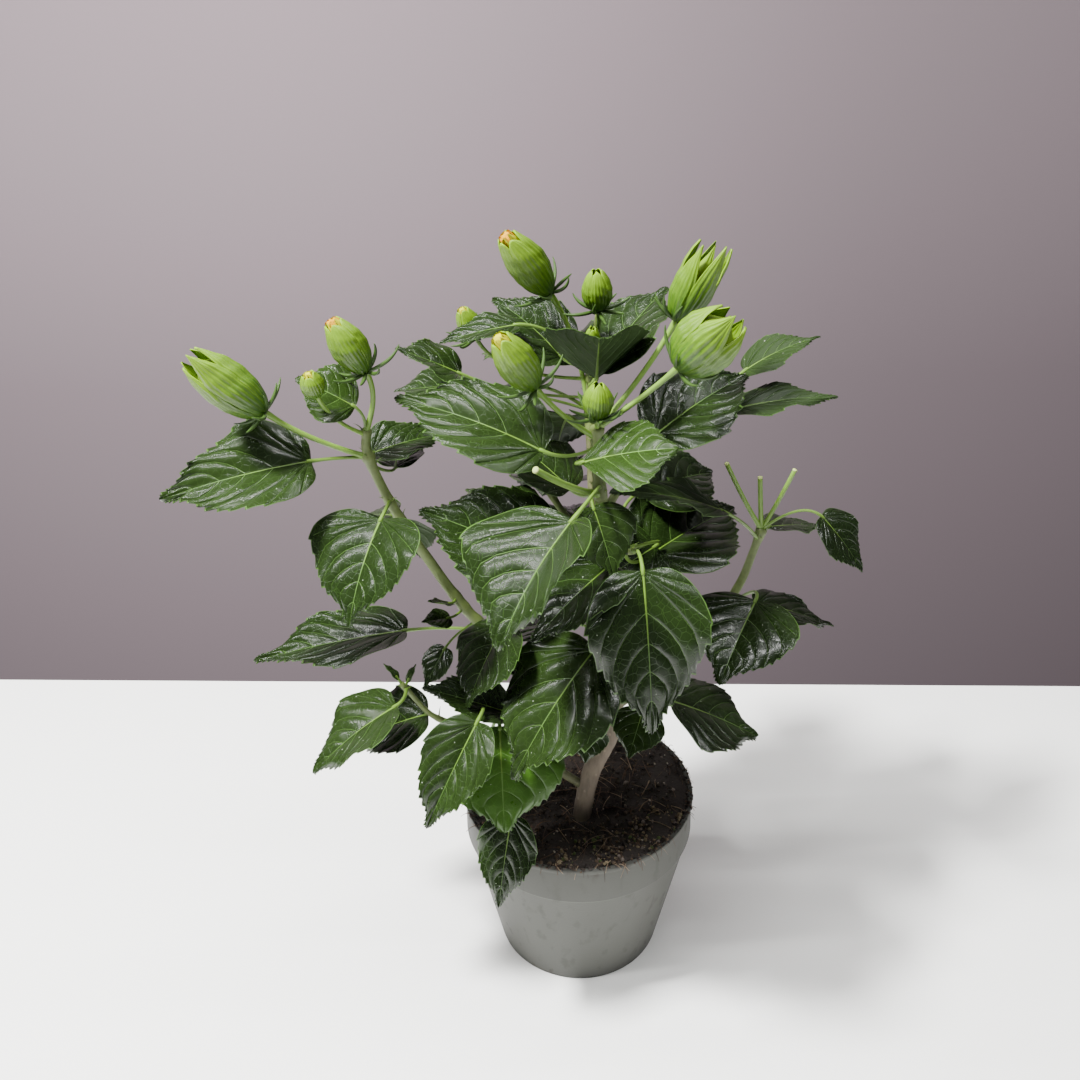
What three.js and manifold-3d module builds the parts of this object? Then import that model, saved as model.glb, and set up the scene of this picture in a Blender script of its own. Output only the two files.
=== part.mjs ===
// Hibiscus shrub, about 41 cm tall, with its 13 cm nursery pot.
// Millimetres and degrees, +Z up, +X to the plant's right, +Y to its back.
// The origin is the centre of the pot's flat underside.

import * as THREE from "three";
import { mergeVertices } from "three/addons/utils/BufferGeometryUtils.js";
import Module from "manifold-3d";

const wasm = await Module();
wasm.setup();

// Driving dimensions of the pot and its soil
const POT_HEIGHT = 103;
const POT_RIM_RADIUS = 65;
const POT_FOOT_RADIUS = 48;
const POT_FOOT_BEVEL = 1.5;
const POT_WALL = 1.8;
const POT_FLOOR = 2.4;
const COLLAR_HEIGHT = 23;
const COLLAR_STEP = 1.4;
const COLLAR_EASE = 0.5;
const LIP_HEIGHT = 2.5;
const LIP_STEP = 0.8;
const RIM_BEVEL = 0.8;
const ROUND_STEPS = 40;
const SOIL_EDGE_DROP = 2;
const SOIL_DROP = 1;
const SOIL_CROWN = 2.6;
const SOIL_RINGS = [0.94, 0.75, 0.5, 0.25, 0];
const SOIL_FIRM_TO = 14;
const SOIL_LOOSE_FROM = 30;

// The soil's lumps: their height, and two slow waves [per x, per y, phase]
const SOIL_LUMP = 0.8;
const SOIL_WAVES = [[0.21, 0.13, 0], [-0.26, 0.17, 2.57]];

// Driving dimensions of the plant
const SOIL_LEVEL = 104;
const CLEAR = 0.3;
const TRUNK_SUNK = 4;
const TRUNK_SIDES = 9;
const TRUNK_STEP = 8;
const BOUGH_SIDES = 8;
const BOUGH_STEP = 16;
const FOOT_WAIST = 0.14;
const WAIST_HEIGHT = 14;
const STEM_SIDES = 7;
const STEM_STEP = 14;
const STALK_SIDES = 4;
const STALK_STEPS = 3;
const STALK_RADIUS = 1.0;
const BUD_STALK_RADIUS = 1.25;
const STALK_SINK = 2;
const STALK_BEND = 0.4;
const STUB_SAG = 0.06;
const BLADE_ROWS = 6;
const SMALL_BLADE = 47;
const SMALL_BLADE_ROWS = 4;
const BLADE_THICKNESS_RATIO = 0.0125;
const BLADE_THINNEST = 0.55;
const BLADE_END = 0.7;
const BELLY = 0.6;
const BLADE_FULLNESS = 0.85;
const CUP = 0.08;
const LOBE = 0.05;
const LOBE_SHARE = 0.3;
const BUD_SIDES = 10;
const BUD_RINGS = 6;
const BUD_BELLY = 0.92;
const OPEN_BELLY = 0.78;
const BUD_FULLNESS = 0.62;
const BUD_RIBS = 5;
const BUD_RIB_DEPTH = 0.06;
const MOUTH = 0.84;
const SPLIT_FOOT = 0.35;
const BRACTS = 5;
const BRACT_SIDES = 3;
const BRACT_LENGTH = 10;
const BRACT_RADIUS = 0.8;
const BRACT_SPREAD = 52;

// The growing rule: how far a grown leaf keeps off all else, and the middle and
// spread of each of its sizes and angles
const GOLDEN_SECTION = 0.618;
const KEEP_OFF = 5;
const TEST_ROWS = 8;
const GROWN = {
  heading: [0, 10],
  stalk: [28, 8],
  stalkRise: [15, 25],
  length: [60, 9],
  widthShare: [0.76, 0.05],
  turn: [0, 25],
  rise: [-22, 22],
  roll: [0, 18],
  droop: [25, 10],
  fold: [12, 5],
};

const UP = new THREE.Vector3(0, 0, 1);
const point = ([x, y, z]) => new THREE.Vector3(x, y, z);
const radians = THREE.MathUtils.degToRad;
const lerp = THREE.MathUtils.lerp;

// The trunk and its boughs: points along each axis, and the radius at its foot and tip
const TRUNK = {
  name: "trunk",
  axis: [
    [0, -25, SOIL_LEVEL - TRUNK_SUNK], [6, -20, 130], [17, -15, 154], [19, -13, 186],
    [17, -14, 226], [13, -15, 262], [10, -15, 295],
  ],
  radii: [5.5, 2.9],
};
const BOUGHS = [
  { name: "bough_left", axis: [[18, -12, 164], [-20, -12, 193], [-44, -10, 214]], radii: [3.7, 2.9] },
  { name: "bough_lower_left", axis: [[3, -21, 121], [-15, -22, 136], [-44, -26, 158]], radii: [2.5, 2.0] },
  { name: "bough_right", axis: [[19, -12, 170], [54, 22, 176], [88, 52, 190]], radii: [4.1, 3.2] },
  { name: "bough_back", axis: [[17, -13, 226], [9, 8, 272], [7, 24, 312]], radii: [2.9, 2.3] },
];

// A leaf: its place along the stem, its stalk [length, turn, rise], its blade
// [length, width, turn, rise] and its set [roll, droop, fold]
const leaf = (at, stalk, blade, set, belly = BELLY) => ({ at, stalk, blade, set, belly });

// A bud: its place along the stem, its stalk, its body [length, width, turn, rise] and how far it is open
const bud = (at, stalk, body, open = 0) => ({ at, stalk, body, open });

// A stalk cut off where a flower was
const stub = (at, stalk, radius) => ({ at, stalk, radius });

// The masses of foliage, each on a stem of its own. A mass may be filled up by the
// growing rule: fill gives the seed, the number of leaves tried, and their space.
const MASSES = [
  {
    name: "foliage_left",
    stem: [
      [-42, -10, 212], [-58, -10, 231], [-74, -10, 259],
      [-89, -10, 288], [-98, -10, 314], [-98, -10, 327],
    ],
    radii: [2.7, 1.9],
    leaves: [
      leaf(0.8, [26, -168, 2], [70, 47, -167, -9], [-35, 20, 18]),
      leaf(0.62, [18, -95, 1], [53, 58, -113, -47], [5, 30, 15], 0.52),
      leaf(0.05, [46, 165, -8], [83, 42, -177, -10], [-10, 10, 15]),
      leaf(0.25, [8, -100, 5], [18, 9, -130, 30], [0, 0, 10]),
      leaf(0.2, [10, -130, -8], [16, 13, -150, 10], [-20, 0, 10]),
      leaf(0.06, [22, -57, 35], [45, 44, -126, -44], [15, 20, 10]),
      leaf(0.12, [21, -154, -30], [23, 17, -136, -48], [-10, 10, 10]),
      leaf(1.0, [14, -125, 70], [29, 33, -178, 30], [-30, 15, 8], 0.75),
      leaf(0.8, [11, 94, -15], [40, 28, 28, 3], [20, 20, 20]),
      leaf(0.76, [20, 62, -24], [36, 26, 93, 1], [0, 20, 10]),
      leaf(0.55, [8, 125, -5], [28, 20, 130, -20], [-20, 10, 10]),
      leaf(0.5, [13, 115, 8], [34, 28, 69, -62], [0, 20, 10]),
    ],
    buds: [
      bud(0.8, [50, -169, 31], [43, 20, -168, 45], 0.25),
      bud(1.0, [28, -20, 82], [31, 15.5, -165, 63]),
      bud(0.97, [35, -130, 46], [14, 10, -120, 70]),
    ],
  },
  {
    name: "foliage_lower_left",
    stem: [[-42, -25.5, 156.5], [-60, -29, 170], [-76, -30, 179], [-90, -30, 199]],
    radii: [1.9, 1.1],
    leaves: [
      leaf(0.95, [15, -102, 2], [53, 44, -160, -33], [0, 25, 15]),
      leaf(0.6, [8, 136, -9], [48, 40, 176, -27], [-20, 30, 15]),
      leaf(0.15, [30, -43, 53], [46, 30, -173, 26], [-20, 10, 25]),
      leaf(0.3, [43, -76, 42], [56, 36, -133, -49], [-25, 30, 25]),
      leaf(0.1, [29, -70, 49], [52, 60, -87, -53], [0, 20, 5], 0.75),
      leaf(0.07, [40, -72, -41], [48, 31, -110, -62], [0, 10, 5]),
      leaf(1.0, [3, 170, 60], [11, 5, 165, 50], [0, 10, 20]),
      leaf(0.97, [3, 20, 50], [10, 5, 40, 55], [0, 10, 20]),
    ],
    buds: [],
  },
  {
    name: "foliage_fork",
    stem: [[19, -13, 174], [26, -22, 180], [32, -27, 185]],
    radii: [1.7, 1.3],
    leaves: [
      leaf(1.0, [13, -14, 2], [52, 52, -3, -26], [5, 15, 5], 0.8),
      leaf(0.45, [25, -150, -14], [20, 21, -107, -62], [0, 0, 5]),
      leaf(0.8, [6, -60, -40], [26, 28, -120, -50], [0, 0, 5]),
    ],
    buds: [],
  },
  {
    name: "foliage_front",
    stem: [[17, -14, 222], [14, -24, 226], [11, -33, 230]],
    radii: [1.7, 1.3],
    leaves: [
      leaf(1.0, [11, -114, -16], [75, 62, -143, -46], [-10, 25, 10]),
    ],
    buds: [],
  },
  {
    name: "foliage_front_right",
    stem: [[13, -15, 262], [20, -21, 267], [25, -28, 271]],
    radii: [1.7, 1.3],
    leaves: [
      leaf(1.0, [27, -87, 10], [76, 54, -82, -69], [5, 25, 10]),
      leaf(0.5, [17, -110, 8], [52, 50, -146, -30], [0, 20, 12]),
      leaf(0.6, [34, 62, -32], [80, 60, 46, -1], [20, 20, 15]),
      leaf(0.8, [56, 79, 5], [62, 50, 43, -8], [30, 20, 15]),
      leaf(0.3, [35, 48, -17], [44, 42, -150, -18], [-35, 15, 12]),
    ],
    buds: [],
  },
  {
    name: "foliage_top_front",
    stem: [[10, -15, 293], [8, -15, 311], [8, -15, 328]],
    radii: [2.7, 2.2],
    leaves: [
      leaf(0.15, [49, -107, 8], [65, 74, -130, -39], [14, 25, 27], 0.72),
      leaf(0.05, [41, -164, -51], [68, 58, 165, 18], [-32, 12, 15]),
      leaf(0.72, [28, -152, 8], [73, 47, 165, 16], [-30, 30, 15]),
      leaf(0.62, [21, -114, 11], [44, 44, -10, 12], [22, 20, 3], 1.2),
      leaf(0.12, [25, 124, -21], [46, 44, 147, 29], [0, 15, 10]),
      leaf(0.05, [19, -104, 8], [34, 32, -60, -58], [10, 20, 15]),
    ],
    buds: [
      bud(0.85, [40, -160, 44], [35, 16.5, -148, 55]),
      bud(0.97, [60, 28, 47], [41, 18.5, 2, 64], 0.5),
      bud(1.0, [45, -9, 40], [36, 26, -10, 46], 0.3),
      bud(1.0, [7, -94, 50], [19, 13, -73, 84]),
    ],
    stubs: [stub(0.04, [56, -129, 32], 1.6)],
  },
  {
    name: "foliage_top_back",
    stem: [[7, 23, 310], [7, 30, 330], [9, 31, 350], [11, 30, 368]],
    radii: [2.2, 1.5],
    leaves: [
      leaf(0.28, [67, -163, 17], [34, 30, -161, 28], [-20, 10, 15]),
      leaf(0.18, [69, -167, 16], [30, 28, 173, -6], [-10, 10, 15]),
      leaf(0.48, [46, -163, 37], [38, 20, -165, -8], [-20, 15, 15]),
      leaf(0.53, [16, -168, 21], [46, 42, 151, 33], [-20, 30, 15]),
      leaf(0.5, [23, -87, 8], [46, 58, -92, 40], [0, 15, 38]),
      leaf(0.38, [19, -79, 34], [62, 46, 47, 30], [-5, 20, 15]),
      leaf(0.6, [10, 15, 38], [36, 30, 30, 20], [0, 15, 10]),
    ],
    buds: [
      bud(0.08, [66, 163, 73], [42, 17.5, -147, 51]),
      bud(0.43, [59, 180, 21], [19, 10.5, -146, 66]),
      bud(0.82, [17, -88, 52], [22, 13.5, -106, 76]),
      bud(0.45, [29, -91, 44], [13, 7, -94, 67]),
    ],
    fill: {
      seed: 23, tries: 40, most: 4, from: 0,
      centre: [0, 65, 318], reach: 66, turn: 130, spread: 55,
    },
  },
  {
    name: "foliage_top_right",
    stem: [[11, -15, 284], [30, 2, 306], [50, 14, 318], [68, 24, 324]],
    radii: [2.0, 1.3],
    leaves: [
      leaf(0.48, [14, -107, 28], [61, 46, 32, 18], [25, 30, 15]),
      leaf(0.9, [15, -4, 1], [49, 24, -6, 8], [15, 20, 12]),
      leaf(1.0, [23, 34, 34], [40, 24, 2, 24], [15, 30, 12]),
    ],
    buds: [],
  },
  {
    name: "foliage_right",
    stem: [[87, 51, 189], [98, 59, 205], [106, 60, 235]],
    radii: [2.6, 2.0],
    leaves: [
      leaf(0.03, [40, -74, 35], [54, 58, -122, -30], [-5, 20, 12]),
      leaf(0.12, [16, -32, 10], [59, 30, 16, -26], [10, 15, 10]),
      leaf(0.9, [61, -128, 38], [78, 24, -148, 23], [-20, 20, 15]),
      leaf(1.0, [34, -18, 22], [40, 31, -23, -50], [20, 20, 10]),
      leaf(0.95, [8, 41, 14], [48, 26, 33, -16], [0, 10, 10]),
    ],
    buds: [],
    stubs: [stub(1.0, [49, -168, 61], 1.3), stub(1.0, [32, 180, 84], 1.4), stub(1.0, [39, 0, 67], 1.3)],
  },
  {
    name: "foliage_back_low",
    stem: [[19, -13, 190], [17, 8, 206], [13, 28, 222], [11, 42, 240]],
    radii: [1.9, 1.3],
    leaves: [],
    buds: [],
    fill: {
      seed: 5, tries: 50, most: 6, from: 0.15,
      centre: [12, 60, 205], reach: 85, turn: 90, spread: 110,
    },
  },
  {
    name: "foliage_back_middle",
    stem: [[13, -15, 256], [-4, 10, 268], [-18, 32, 284], [-24, 44, 300]],
    radii: [1.9, 1.3],
    leaves: [],
    buds: [],
    fill: {
      seed: 11, tries: 60, most: 6, from: 0.15,
      centre: [-8, 65, 262], reach: 68, turn: 110, spread: 50,
    },
  },
];

// A seeded source of even numbers from 0 to 1
const SEED_FACTOR = 16807;
const SEED_PRIME = 2147483647;
function seeded(seed) {
  let state = seed;
  return () => {
    state = (state * SEED_FACTOR) % SEED_PRIME;
    return state / SEED_PRIME;
  };
}

// The unit vector at a turn about +Z and a rise above the level
function direction(turn, rise) {
  const flat = Math.cos(radians(rise));
  const height = Math.sin(radians(rise));
  return new THREE.Vector3(flat * Math.cos(radians(turn)), flat * Math.sin(radians(turn)), height);
}

const smooth = (points) => new THREE.CatmullRomCurve3(points.map(point), false, "catmullrom", 0.5);

// A closed mesh from a geometry, as a solid
function solid(geometry) {
  geometry.deleteAttribute("normal");
  geometry.deleteAttribute("uv");
  const merged = mergeVertices(geometry);
  const mesh = new wasm.Mesh({
    numProp: 3,
    vertProperties: Float32Array.from(merged.attributes.position.array),
    triVerts: Uint32Array.from(merged.index.array),
  });
  return new wasm.Manifold(mesh);
}

// Moves every vertex of a geometry to the place that a function gives for it
function reshape(geometry, place) {
  const at = geometry.attributes.position;
  for (let i = 0; i < at.count; i += 1) {
    const moved = place(at.getX(i), at.getY(i), at.getZ(i));
    at.setXYZ(i, moved.x, moved.y, moved.z);
  }
  return geometry;
}

// A tapered round limb along a curve: the rings of a closed cylinder laid square to it.
// radiusAt gives the radius from 0 at the foot to 1 at the tip; grow thickens and lengthens it.
function limb(curve, radiusAt, sides, steps, grow = 0) {
  const rings = [];
  let across = new THREE.Vector3(0, 1, 0);
  for (let i = 0; i <= steps; i += 1) {
    const t = i / steps;
    const along = curve.getTangent(t).normalize();
    across = across.clone().addScaledVector(along, -across.dot(along)).normalize();
    const centre = curve.getPoint(t);
    if (i === steps) {
      centre.addScaledVector(along, grow);
    }
    const beside = across.clone().cross(along);
    rings.push({ centre, across, beside, radius: radiusAt(t) + grow });
  }
  const place = (x, y, z) => {
    const { centre, across: right, beside, radius } = rings[Math.round((y + 0.5) * steps)];
    return centre.clone().addScaledVector(right, x * radius).addScaledVector(beside, z * radius);
  };
  return solid(reshape(new THREE.CylinderGeometry(1, 1, 1, sides, steps), place));
}

const taper = (radii) => (t) => lerp(radii[0], radii[1], t);

// The trunk's radius. It is a little slimmer where it leaves the soil.
const trunkCurve = smooth(TRUNK.axis);
function trunkRadius(t) {
  const height = trunkCurve.getPoint(t).z - SOIL_LEVEL;
  return taper(TRUNK.radii)(t) * (1 - FOOT_WAIST * Math.exp(-height / WAIST_HEIGHT));
}

// Where the stalk of a row ends: the foot of its blade, bud or cut
function stalkEnd(from, { stalk }) {
  const [length, turn, rise] = stalk;
  return from.clone().addScaledVector(direction(turn, rise), length);
}

// A leaf blade's half width at a place from 0 at its foot to 1 at its tip, as a share of the widest
const bladeOutline = (s, belly) => Math.sin(Math.PI * s ** belly) ** BLADE_FULLNESS;

// The blade's frame: its chord, the way its face looks, and its right-hand side
function bladeFrame(turn, rise, roll) {
  const chord = direction(turn, rise);
  const side = chord.clone().cross(UP).normalize();
  const face = side.clone().cross(chord);
  const r = radians(roll);
  const beside = chord.clone().cross(face);
  const rolled = face.clone().multiplyScalar(Math.cos(r)).addScaledVector(beside, Math.sin(r));
  return { chord, face: rolled, side: chord.clone().cross(rolled) };
}

// A function that gives the point of a blade at u across (-1 to 1), s along (0 to 1)
// and lift above its middle surface. The midrib is an arc that droops evenly.
function bladeSurface(foot, { blade, set, belly }) {
  const [length, width, turn, rise] = blade;
  const [roll, droop, fold] = set;
  const { chord, face, side } = bladeFrame(turn, rise, roll);
  const bend = radians(droop);
  const cosFold = Math.cos(radians(fold));
  const sinFold = Math.sin(radians(fold));
  return (u, s, lift) => {
    const angle = bend * (0.5 - s);
    const arc = { x: s * length, y: 0 };
    if (bend > 0) {
      arc.x = (length / bend) * (Math.sin(bend / 2) - Math.sin(angle));
      arc.y = (length / bend) * (Math.cos(angle) - Math.cos(bend / 2));
    }
    const along = chord.clone().multiplyScalar(Math.cos(angle)).addScaledVector(face, Math.sin(angle));
    const out = chord.clone().multiplyScalar(-Math.sin(angle)).addScaledVector(face, Math.cos(angle));
    const half = Math.max((width / 2) * bladeOutline(s, belly), BLADE_END);
    const back = LOBE * length * u * u * Math.max(0, 1 - s / LOBE_SHARE) ** 2;
    return foot.clone()
      .addScaledVector(chord, arc.x)
      .addScaledVector(face, arc.y)
      .addScaledVector(side, u * half * cosFold)
      .addScaledVector(out, Math.abs(u) * half * sinFold - CUP * u * u * half + lift)
      .addScaledVector(along, -back);
  };
}

// The blade as a solid: a thin box bent to its surface, its rows closer at foot and tip
function bladeSolid(foot, row) {
  const surface = bladeSurface(foot, row);
  const thickness = Math.max(row.blade[0] * BLADE_THICKNESS_RATIO, BLADE_THINNEST);
  const rows = row.blade[0] < SMALL_BLADE ? SMALL_BLADE_ROWS : BLADE_ROWS;
  const place = (x, y, z) => surface(-x, (1 - Math.cos(Math.PI * (z + 0.5))) / 2, y * thickness);
  return solid(reshape(new THREE.BoxGeometry(2, 1, 1, 2, 1, rows), place));
}

// A stalk from a stem to a foot, arriving along a direction and sunk in past it
function stalkSolid(from, foot, along, radius) {
  const reach = from.distanceTo(foot);
  const bend = foot.clone().addScaledVector(along, -STALK_BEND * reach);
  const end = foot.clone().addScaledVector(along, STALK_SINK);
  return limb(new THREE.QuadraticBezierCurve3(from, bend, end), () => radius, STALK_SIDES, STALK_STEPS);
}

// A bud's radius along its length, as a share of the widest
const budOutline = (s, belly) => Math.sin(Math.PI * s ** belly) ** BUD_FULLNESS;

// The ribbed body of a bud, standing on the origin along +Y. One that opens has a mouth,
// and its wall is split between the five sepals by that share of its length.
function budBody(length, width, open) {
  const profile = [new THREE.Vector2(0, 0)];
  for (let i = 1; i <= BUD_RINGS; i += 1) {
    const s = i / BUD_RINGS;
    const radius = (width / 2) * budOutline(...(open ? [s * MOUTH, OPEN_BELLY] : [s, BUD_BELLY]));
    profile.push(new THREE.Vector2(radius, s * length));
  }
  profile.push(open ? new THREE.Vector2(0, length * SPLIT_FOOT) : profile.pop().setX(0));
  const shaped = (x, y, z) => {
    const wave = Math.hypot(x, z) > 0 ? Math.cos(BUD_RIBS * Math.atan2(x, z)) : 1;
    const swell = 1 + BUD_RIB_DEPTH * wave;
    const upper = Math.max(0, y / length - SPLIT_FOOT) / (1 - SPLIT_FOOT);
    const drop = open * length * upper * (1 - wave) * 0.5;
    return new THREE.Vector3(x * swell, y - drop, z * swell);
  };
  return reshape(new THREE.LatheGeometry(profile, BUD_SIDES), shaped);
}

// A bud on its stalk, with a ring of slim bracts below it if it is not a small one
function budSolids(from, row) {
  const [length, width, turn, rise] = row.body;
  const foot = stalkEnd(from, row);
  const axis = direction(turn, rise);
  const upright = new THREE.Quaternion().setFromUnitVectors(new THREE.Vector3(0, 1, 0), axis);
  const body = budBody(length, width, row.open);
  body.applyQuaternion(upright).translate(foot.x, foot.y, foot.z);
  const pieces = [solid(body), stalkSolid(from, foot, axis, BUD_STALK_RADIUS)];
  const bracts = length > BRACT_LENGTH * 2 ? BRACTS : 0;
  const root = foot.clone().addScaledVector(axis, BRACT_RADIUS);
  for (let i = 0; i < bracts; i += 1) {
    const bract = new THREE.ConeGeometry(BRACT_RADIUS, BRACT_LENGTH, BRACT_SIDES);
    bract.translate(0, BRACT_LENGTH / 2, 0).rotateX(radians(BRACT_SPREAD));
    bract.rotateY(radians((360 / BRACTS) * i));
    pieces.push(solid(bract.applyQuaternion(upright).translate(root.x, root.y, root.z)));
  }
  return pieces;
}

// Points spread over a leaf and the outer half of its stalk, for the test of what is clear of it
function leafPoints(from, row) {
  const foot = stalkEnd(from, row);
  const surface = bladeSurface(foot, row);
  const points = [0.5, 0.75].map((share) => from.clone().lerp(foot, share));
  for (let i = 0; i <= TEST_ROWS; i += 1) {
    for (const u of [-1, -0.5, 0, 0.5, 1]) {
      points.push(surface(u, i / TEST_ROWS, 0));
    }
  }
  return points;
}

// The growing rule: leaves stand along the stem, spread to its outer side by the golden section,
// each a little off by the seed. One that would leave the mass's space, or come near what is
// there already, is skipped.
function grow(mass, taken) {
  const { seed, tries, most, from, centre, reach, turn, spread } = mass.fill;
  const random = seeded(seed);
  const vary = ([middle, off]) => middle + off * (2 * random() - 1);
  const curve = smooth(mass.stem);
  const middle = point(centre);
  const grown = [];
  for (let i = 0; i < tries && grown.length < most; i += 1) {
    const at = lerp(from, 1, (i * GOLDEN_SECTION) % 1);
    const across = 2 * ((i * GOLDEN_SECTION * 2 + 0.5) % 1) - 1;
    const heading = turn + spread * across + vary(GROWN.heading);
    const stalk = [vary(GROWN.stalk), heading, vary(GROWN.stalkRise)];
    const length = vary(GROWN.length);
    const width = length * vary(GROWN.widthShare);
    const blade = [length, width, heading + vary(GROWN.turn), vary(GROWN.rise)];
    const row = leaf(at, stalk, blade, [vary(GROWN.roll), vary(GROWN.droop), vary(GROWN.fold)]);
    const points = leafPoints(curve.getPoint(at), row);
    const inside = points.every((p) => p.distanceTo(middle) < reach);
    const free = points.every((p) => taken.every((q) => p.distanceTo(q) > KEEP_OFF));
    if (inside && free) {
      grown.push(row);
      taken.push(...points);
    }
  }
  return grown;
}

// Every point that the limbs and the given leaves and buds take up
function takenPoints() {
  const taken = [TRUNK, ...BOUGHS].flatMap(({ axis }) => smooth(axis).getPoints(40));
  for (const mass of MASSES) {
    const curve = smooth(mass.stem);
    taken.push(...curve.getPoints(16));
    for (const row of mass.leaves) {
      taken.push(...leafPoints(curve.getPoint(row.at), row));
    }
    for (const row of mass.buds) {
      const foot = stalkEnd(curve.getPoint(row.at), row);
      const [length, , turn, rise] = row.body;
      const tip = foot.clone().addScaledVector(direction(turn, rise), length);
      taken.push(...[0, 0.25, 0.5, 0.75, 1].map((s) => foot.clone().lerp(tip, s)));
    }
  }
  return taken;
}

// The solid of a mass: stem, leaves on their stalks, buds and cut stalks in one
function massSolid(mass, rows, limbSpace) {
  const curve = smooth(mass.stem);
  const steps = Math.max(2, Math.round(curve.getLength() / STEM_STEP));
  const pieces = [limb(curve, taper(mass.radii), STEM_SIDES, steps)];
  for (const row of rows) {
    const from = curve.getPoint(row.at);
    const foot = stalkEnd(from, row);
    const surface = bladeSurface(foot, row);
    const along = surface(0, 0.05, 0).sub(surface(0, 0, 0)).normalize();
    pieces.push(stalkSolid(from, foot, along, STALK_RADIUS));
    pieces.push(bladeSolid(foot, row));
  }
  for (const row of mass.buds) {
    pieces.push(...budSolids(curve.getPoint(row.at), row));
  }
  for (const row of mass.stubs ?? []) {
    const from = curve.getPoint(row.at);
    const foot = stalkEnd(from, row);
    const bend = from.clone().lerp(foot, 0.5).addScaledVector(UP, -STUB_SAG * row.stalk[0]);
    const curved = new THREE.QuadraticBezierCurve3(from, bend, foot);
    pieces.push(limb(curved, () => row.radius, STALK_SIDES, STALK_STEPS));
  }
  return largest(wasm.Manifold.union(pieces).subtract(limbSpace));
}

// Keeps the largest body of a solid, so that a scrap cut loose is dropped
function largest(cut) {
  return cut.decompose().reduce((best, piece) => (piece.volume() > best.volume() ? piece : best));
}

// The pot: one closed wall turned round the upright axis, with a collar, a lip and a flat floor
function potGeometry() {
  const slope = (POT_RIM_RADIUS - COLLAR_STEP - POT_FOOT_RADIUS) / (POT_HEIGHT - COLLAR_HEIGHT);
  const outer = (z) => POT_FOOT_RADIUS + slope * z;
  const collar = POT_HEIGHT - COLLAR_HEIGHT;
  const profile = [
    [0, 0],
    [POT_FOOT_RADIUS - POT_FOOT_BEVEL, 0],
    [POT_FOOT_RADIUS, POT_FOOT_BEVEL],
    [outer(collar - COLLAR_EASE), collar - COLLAR_EASE],
    [outer(collar) + COLLAR_STEP, collar + COLLAR_EASE],
    [POT_RIM_RADIUS - LIP_STEP, POT_HEIGHT - LIP_HEIGHT - COLLAR_EASE],
    [POT_RIM_RADIUS, POT_HEIGHT - LIP_HEIGHT],
    [POT_RIM_RADIUS, POT_HEIGHT - RIM_BEVEL],
    [POT_RIM_RADIUS - RIM_BEVEL, POT_HEIGHT],
    [potInside(POT_HEIGHT), POT_HEIGHT],
    [potInside(POT_FLOOR), POT_FLOOR],
    [0, POT_FLOOR],
  ];
  return turned(profile);
}

// The pot's inner radius at a height
function potInside(z) {
  const top = POT_RIM_RADIUS - LIP_STEP - POT_WALL;
  const floor = POT_FOOT_RADIUS - POT_WALL;
  return lerp(floor, top, z / POT_HEIGHT);
}

function turned(profile) {
  const geometry = new THREE.LatheGeometry(profile.map(([x, y]) => new THREE.Vector2(x, y)), ROUND_STEPS);
  return geometry.rotateX(Math.PI / 2);
}

// The potting soil: it fills the pot clear of the wall, firm and level round the trunk,
// loose and lumpy further out, a little higher in the middle than at the wall
function soilGeometry() {
  const wallTop = POT_HEIGHT - SOIL_EDGE_DROP;
  const edge = potInside(wallTop) - CLEAR;
  const profile = [
    [0, POT_FLOOR + CLEAR],
    [potInside(POT_FLOOR) - CLEAR, POT_FLOOR + CLEAR],
    [edge, wallTop],
    ...SOIL_RINGS.map((share) => [edge * share, POT_HEIGHT]),
  ];
  const foot = point(TRUNK.axis[0]);
  return reshape(turned(profile), (x, y, z) => {
    const offTrunk = Math.hypot(x - foot.x, y - foot.y);
    const loose = THREE.MathUtils.smoothstep(offTrunk, SOIL_FIRM_TO, SOIL_LOOSE_FROM);
    const lumps = SOIL_WAVES.reduce((sum, [a, b, c]) => sum + SOIL_LUMP * Math.sin(a * x + b * y + c), 0);
    const crown = SOIL_CROWN * (1 - (Math.hypot(x, y) / edge) ** 2);
    const raised = lerp(SOIL_LEVEL - CLEAR, POT_HEIGHT - SOIL_DROP + crown + lumps, loose);
    return new THREE.Vector3(x, y, z > wallTop ? raised : z);
  });
}

const finish = (color, roughness) => new THREE.MeshStandardMaterial({ color, roughness, metalness: 0 });
const POT_FINISH = finish(0xc9cac6, 0.5);
const SOIL_FINISH = finish(0x261b15, 0.95);
const BARK_FINISH = finish(0x8d8069, 0.85);
const BOUGH_FINISH = finish(0x66683f, 0.75);
const LEAF_FINISH = finish(0x2c4a1c, 0.45);

const plant = new THREE.Group();
plant.name = "hibiscus_shrub";

// Adds one sub-part, as it is or as the mesh of a solid
function add(name, geometry, material) {
  const mesh = new THREE.Mesh(geometry, material);
  mesh.name = name;
  plant.add(mesh);
}

function addSolid(name, body, material) {
  const { vertProperties, triVerts } = body.getMesh();
  const geometry = new THREE.BufferGeometry();
  geometry.setAttribute("position", new THREE.BufferAttribute(vertProperties, 3));
  geometry.setIndex(new THREE.BufferAttribute(triVerts, 1));
  add(name, geometry, material);
}

add("pot", potGeometry(), POT_FINISH);
add("potting_soil", soilGeometry(), SOIL_FINISH);

// The limbs: the trunk is cut level at the soil, each bough where it leaves the trunk.
// The masses are cut clear of all of them.
const trunkSteps = Math.round(trunkCurve.getLength() / TRUNK_STEP);
const underground = new THREE.BoxGeometry(POT_FOOT_RADIUS, POT_FOOT_RADIUS, POT_HEIGHT);
underground.translate(0, TRUNK.axis[0][1], SOIL_LEVEL - POT_HEIGHT / 2);
const trunk = limb(trunkCurve, trunkRadius, TRUNK_SIDES, trunkSteps);
addSolid(TRUNK.name, trunk.subtract(solid(underground)), BARK_FINISH);

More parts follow.
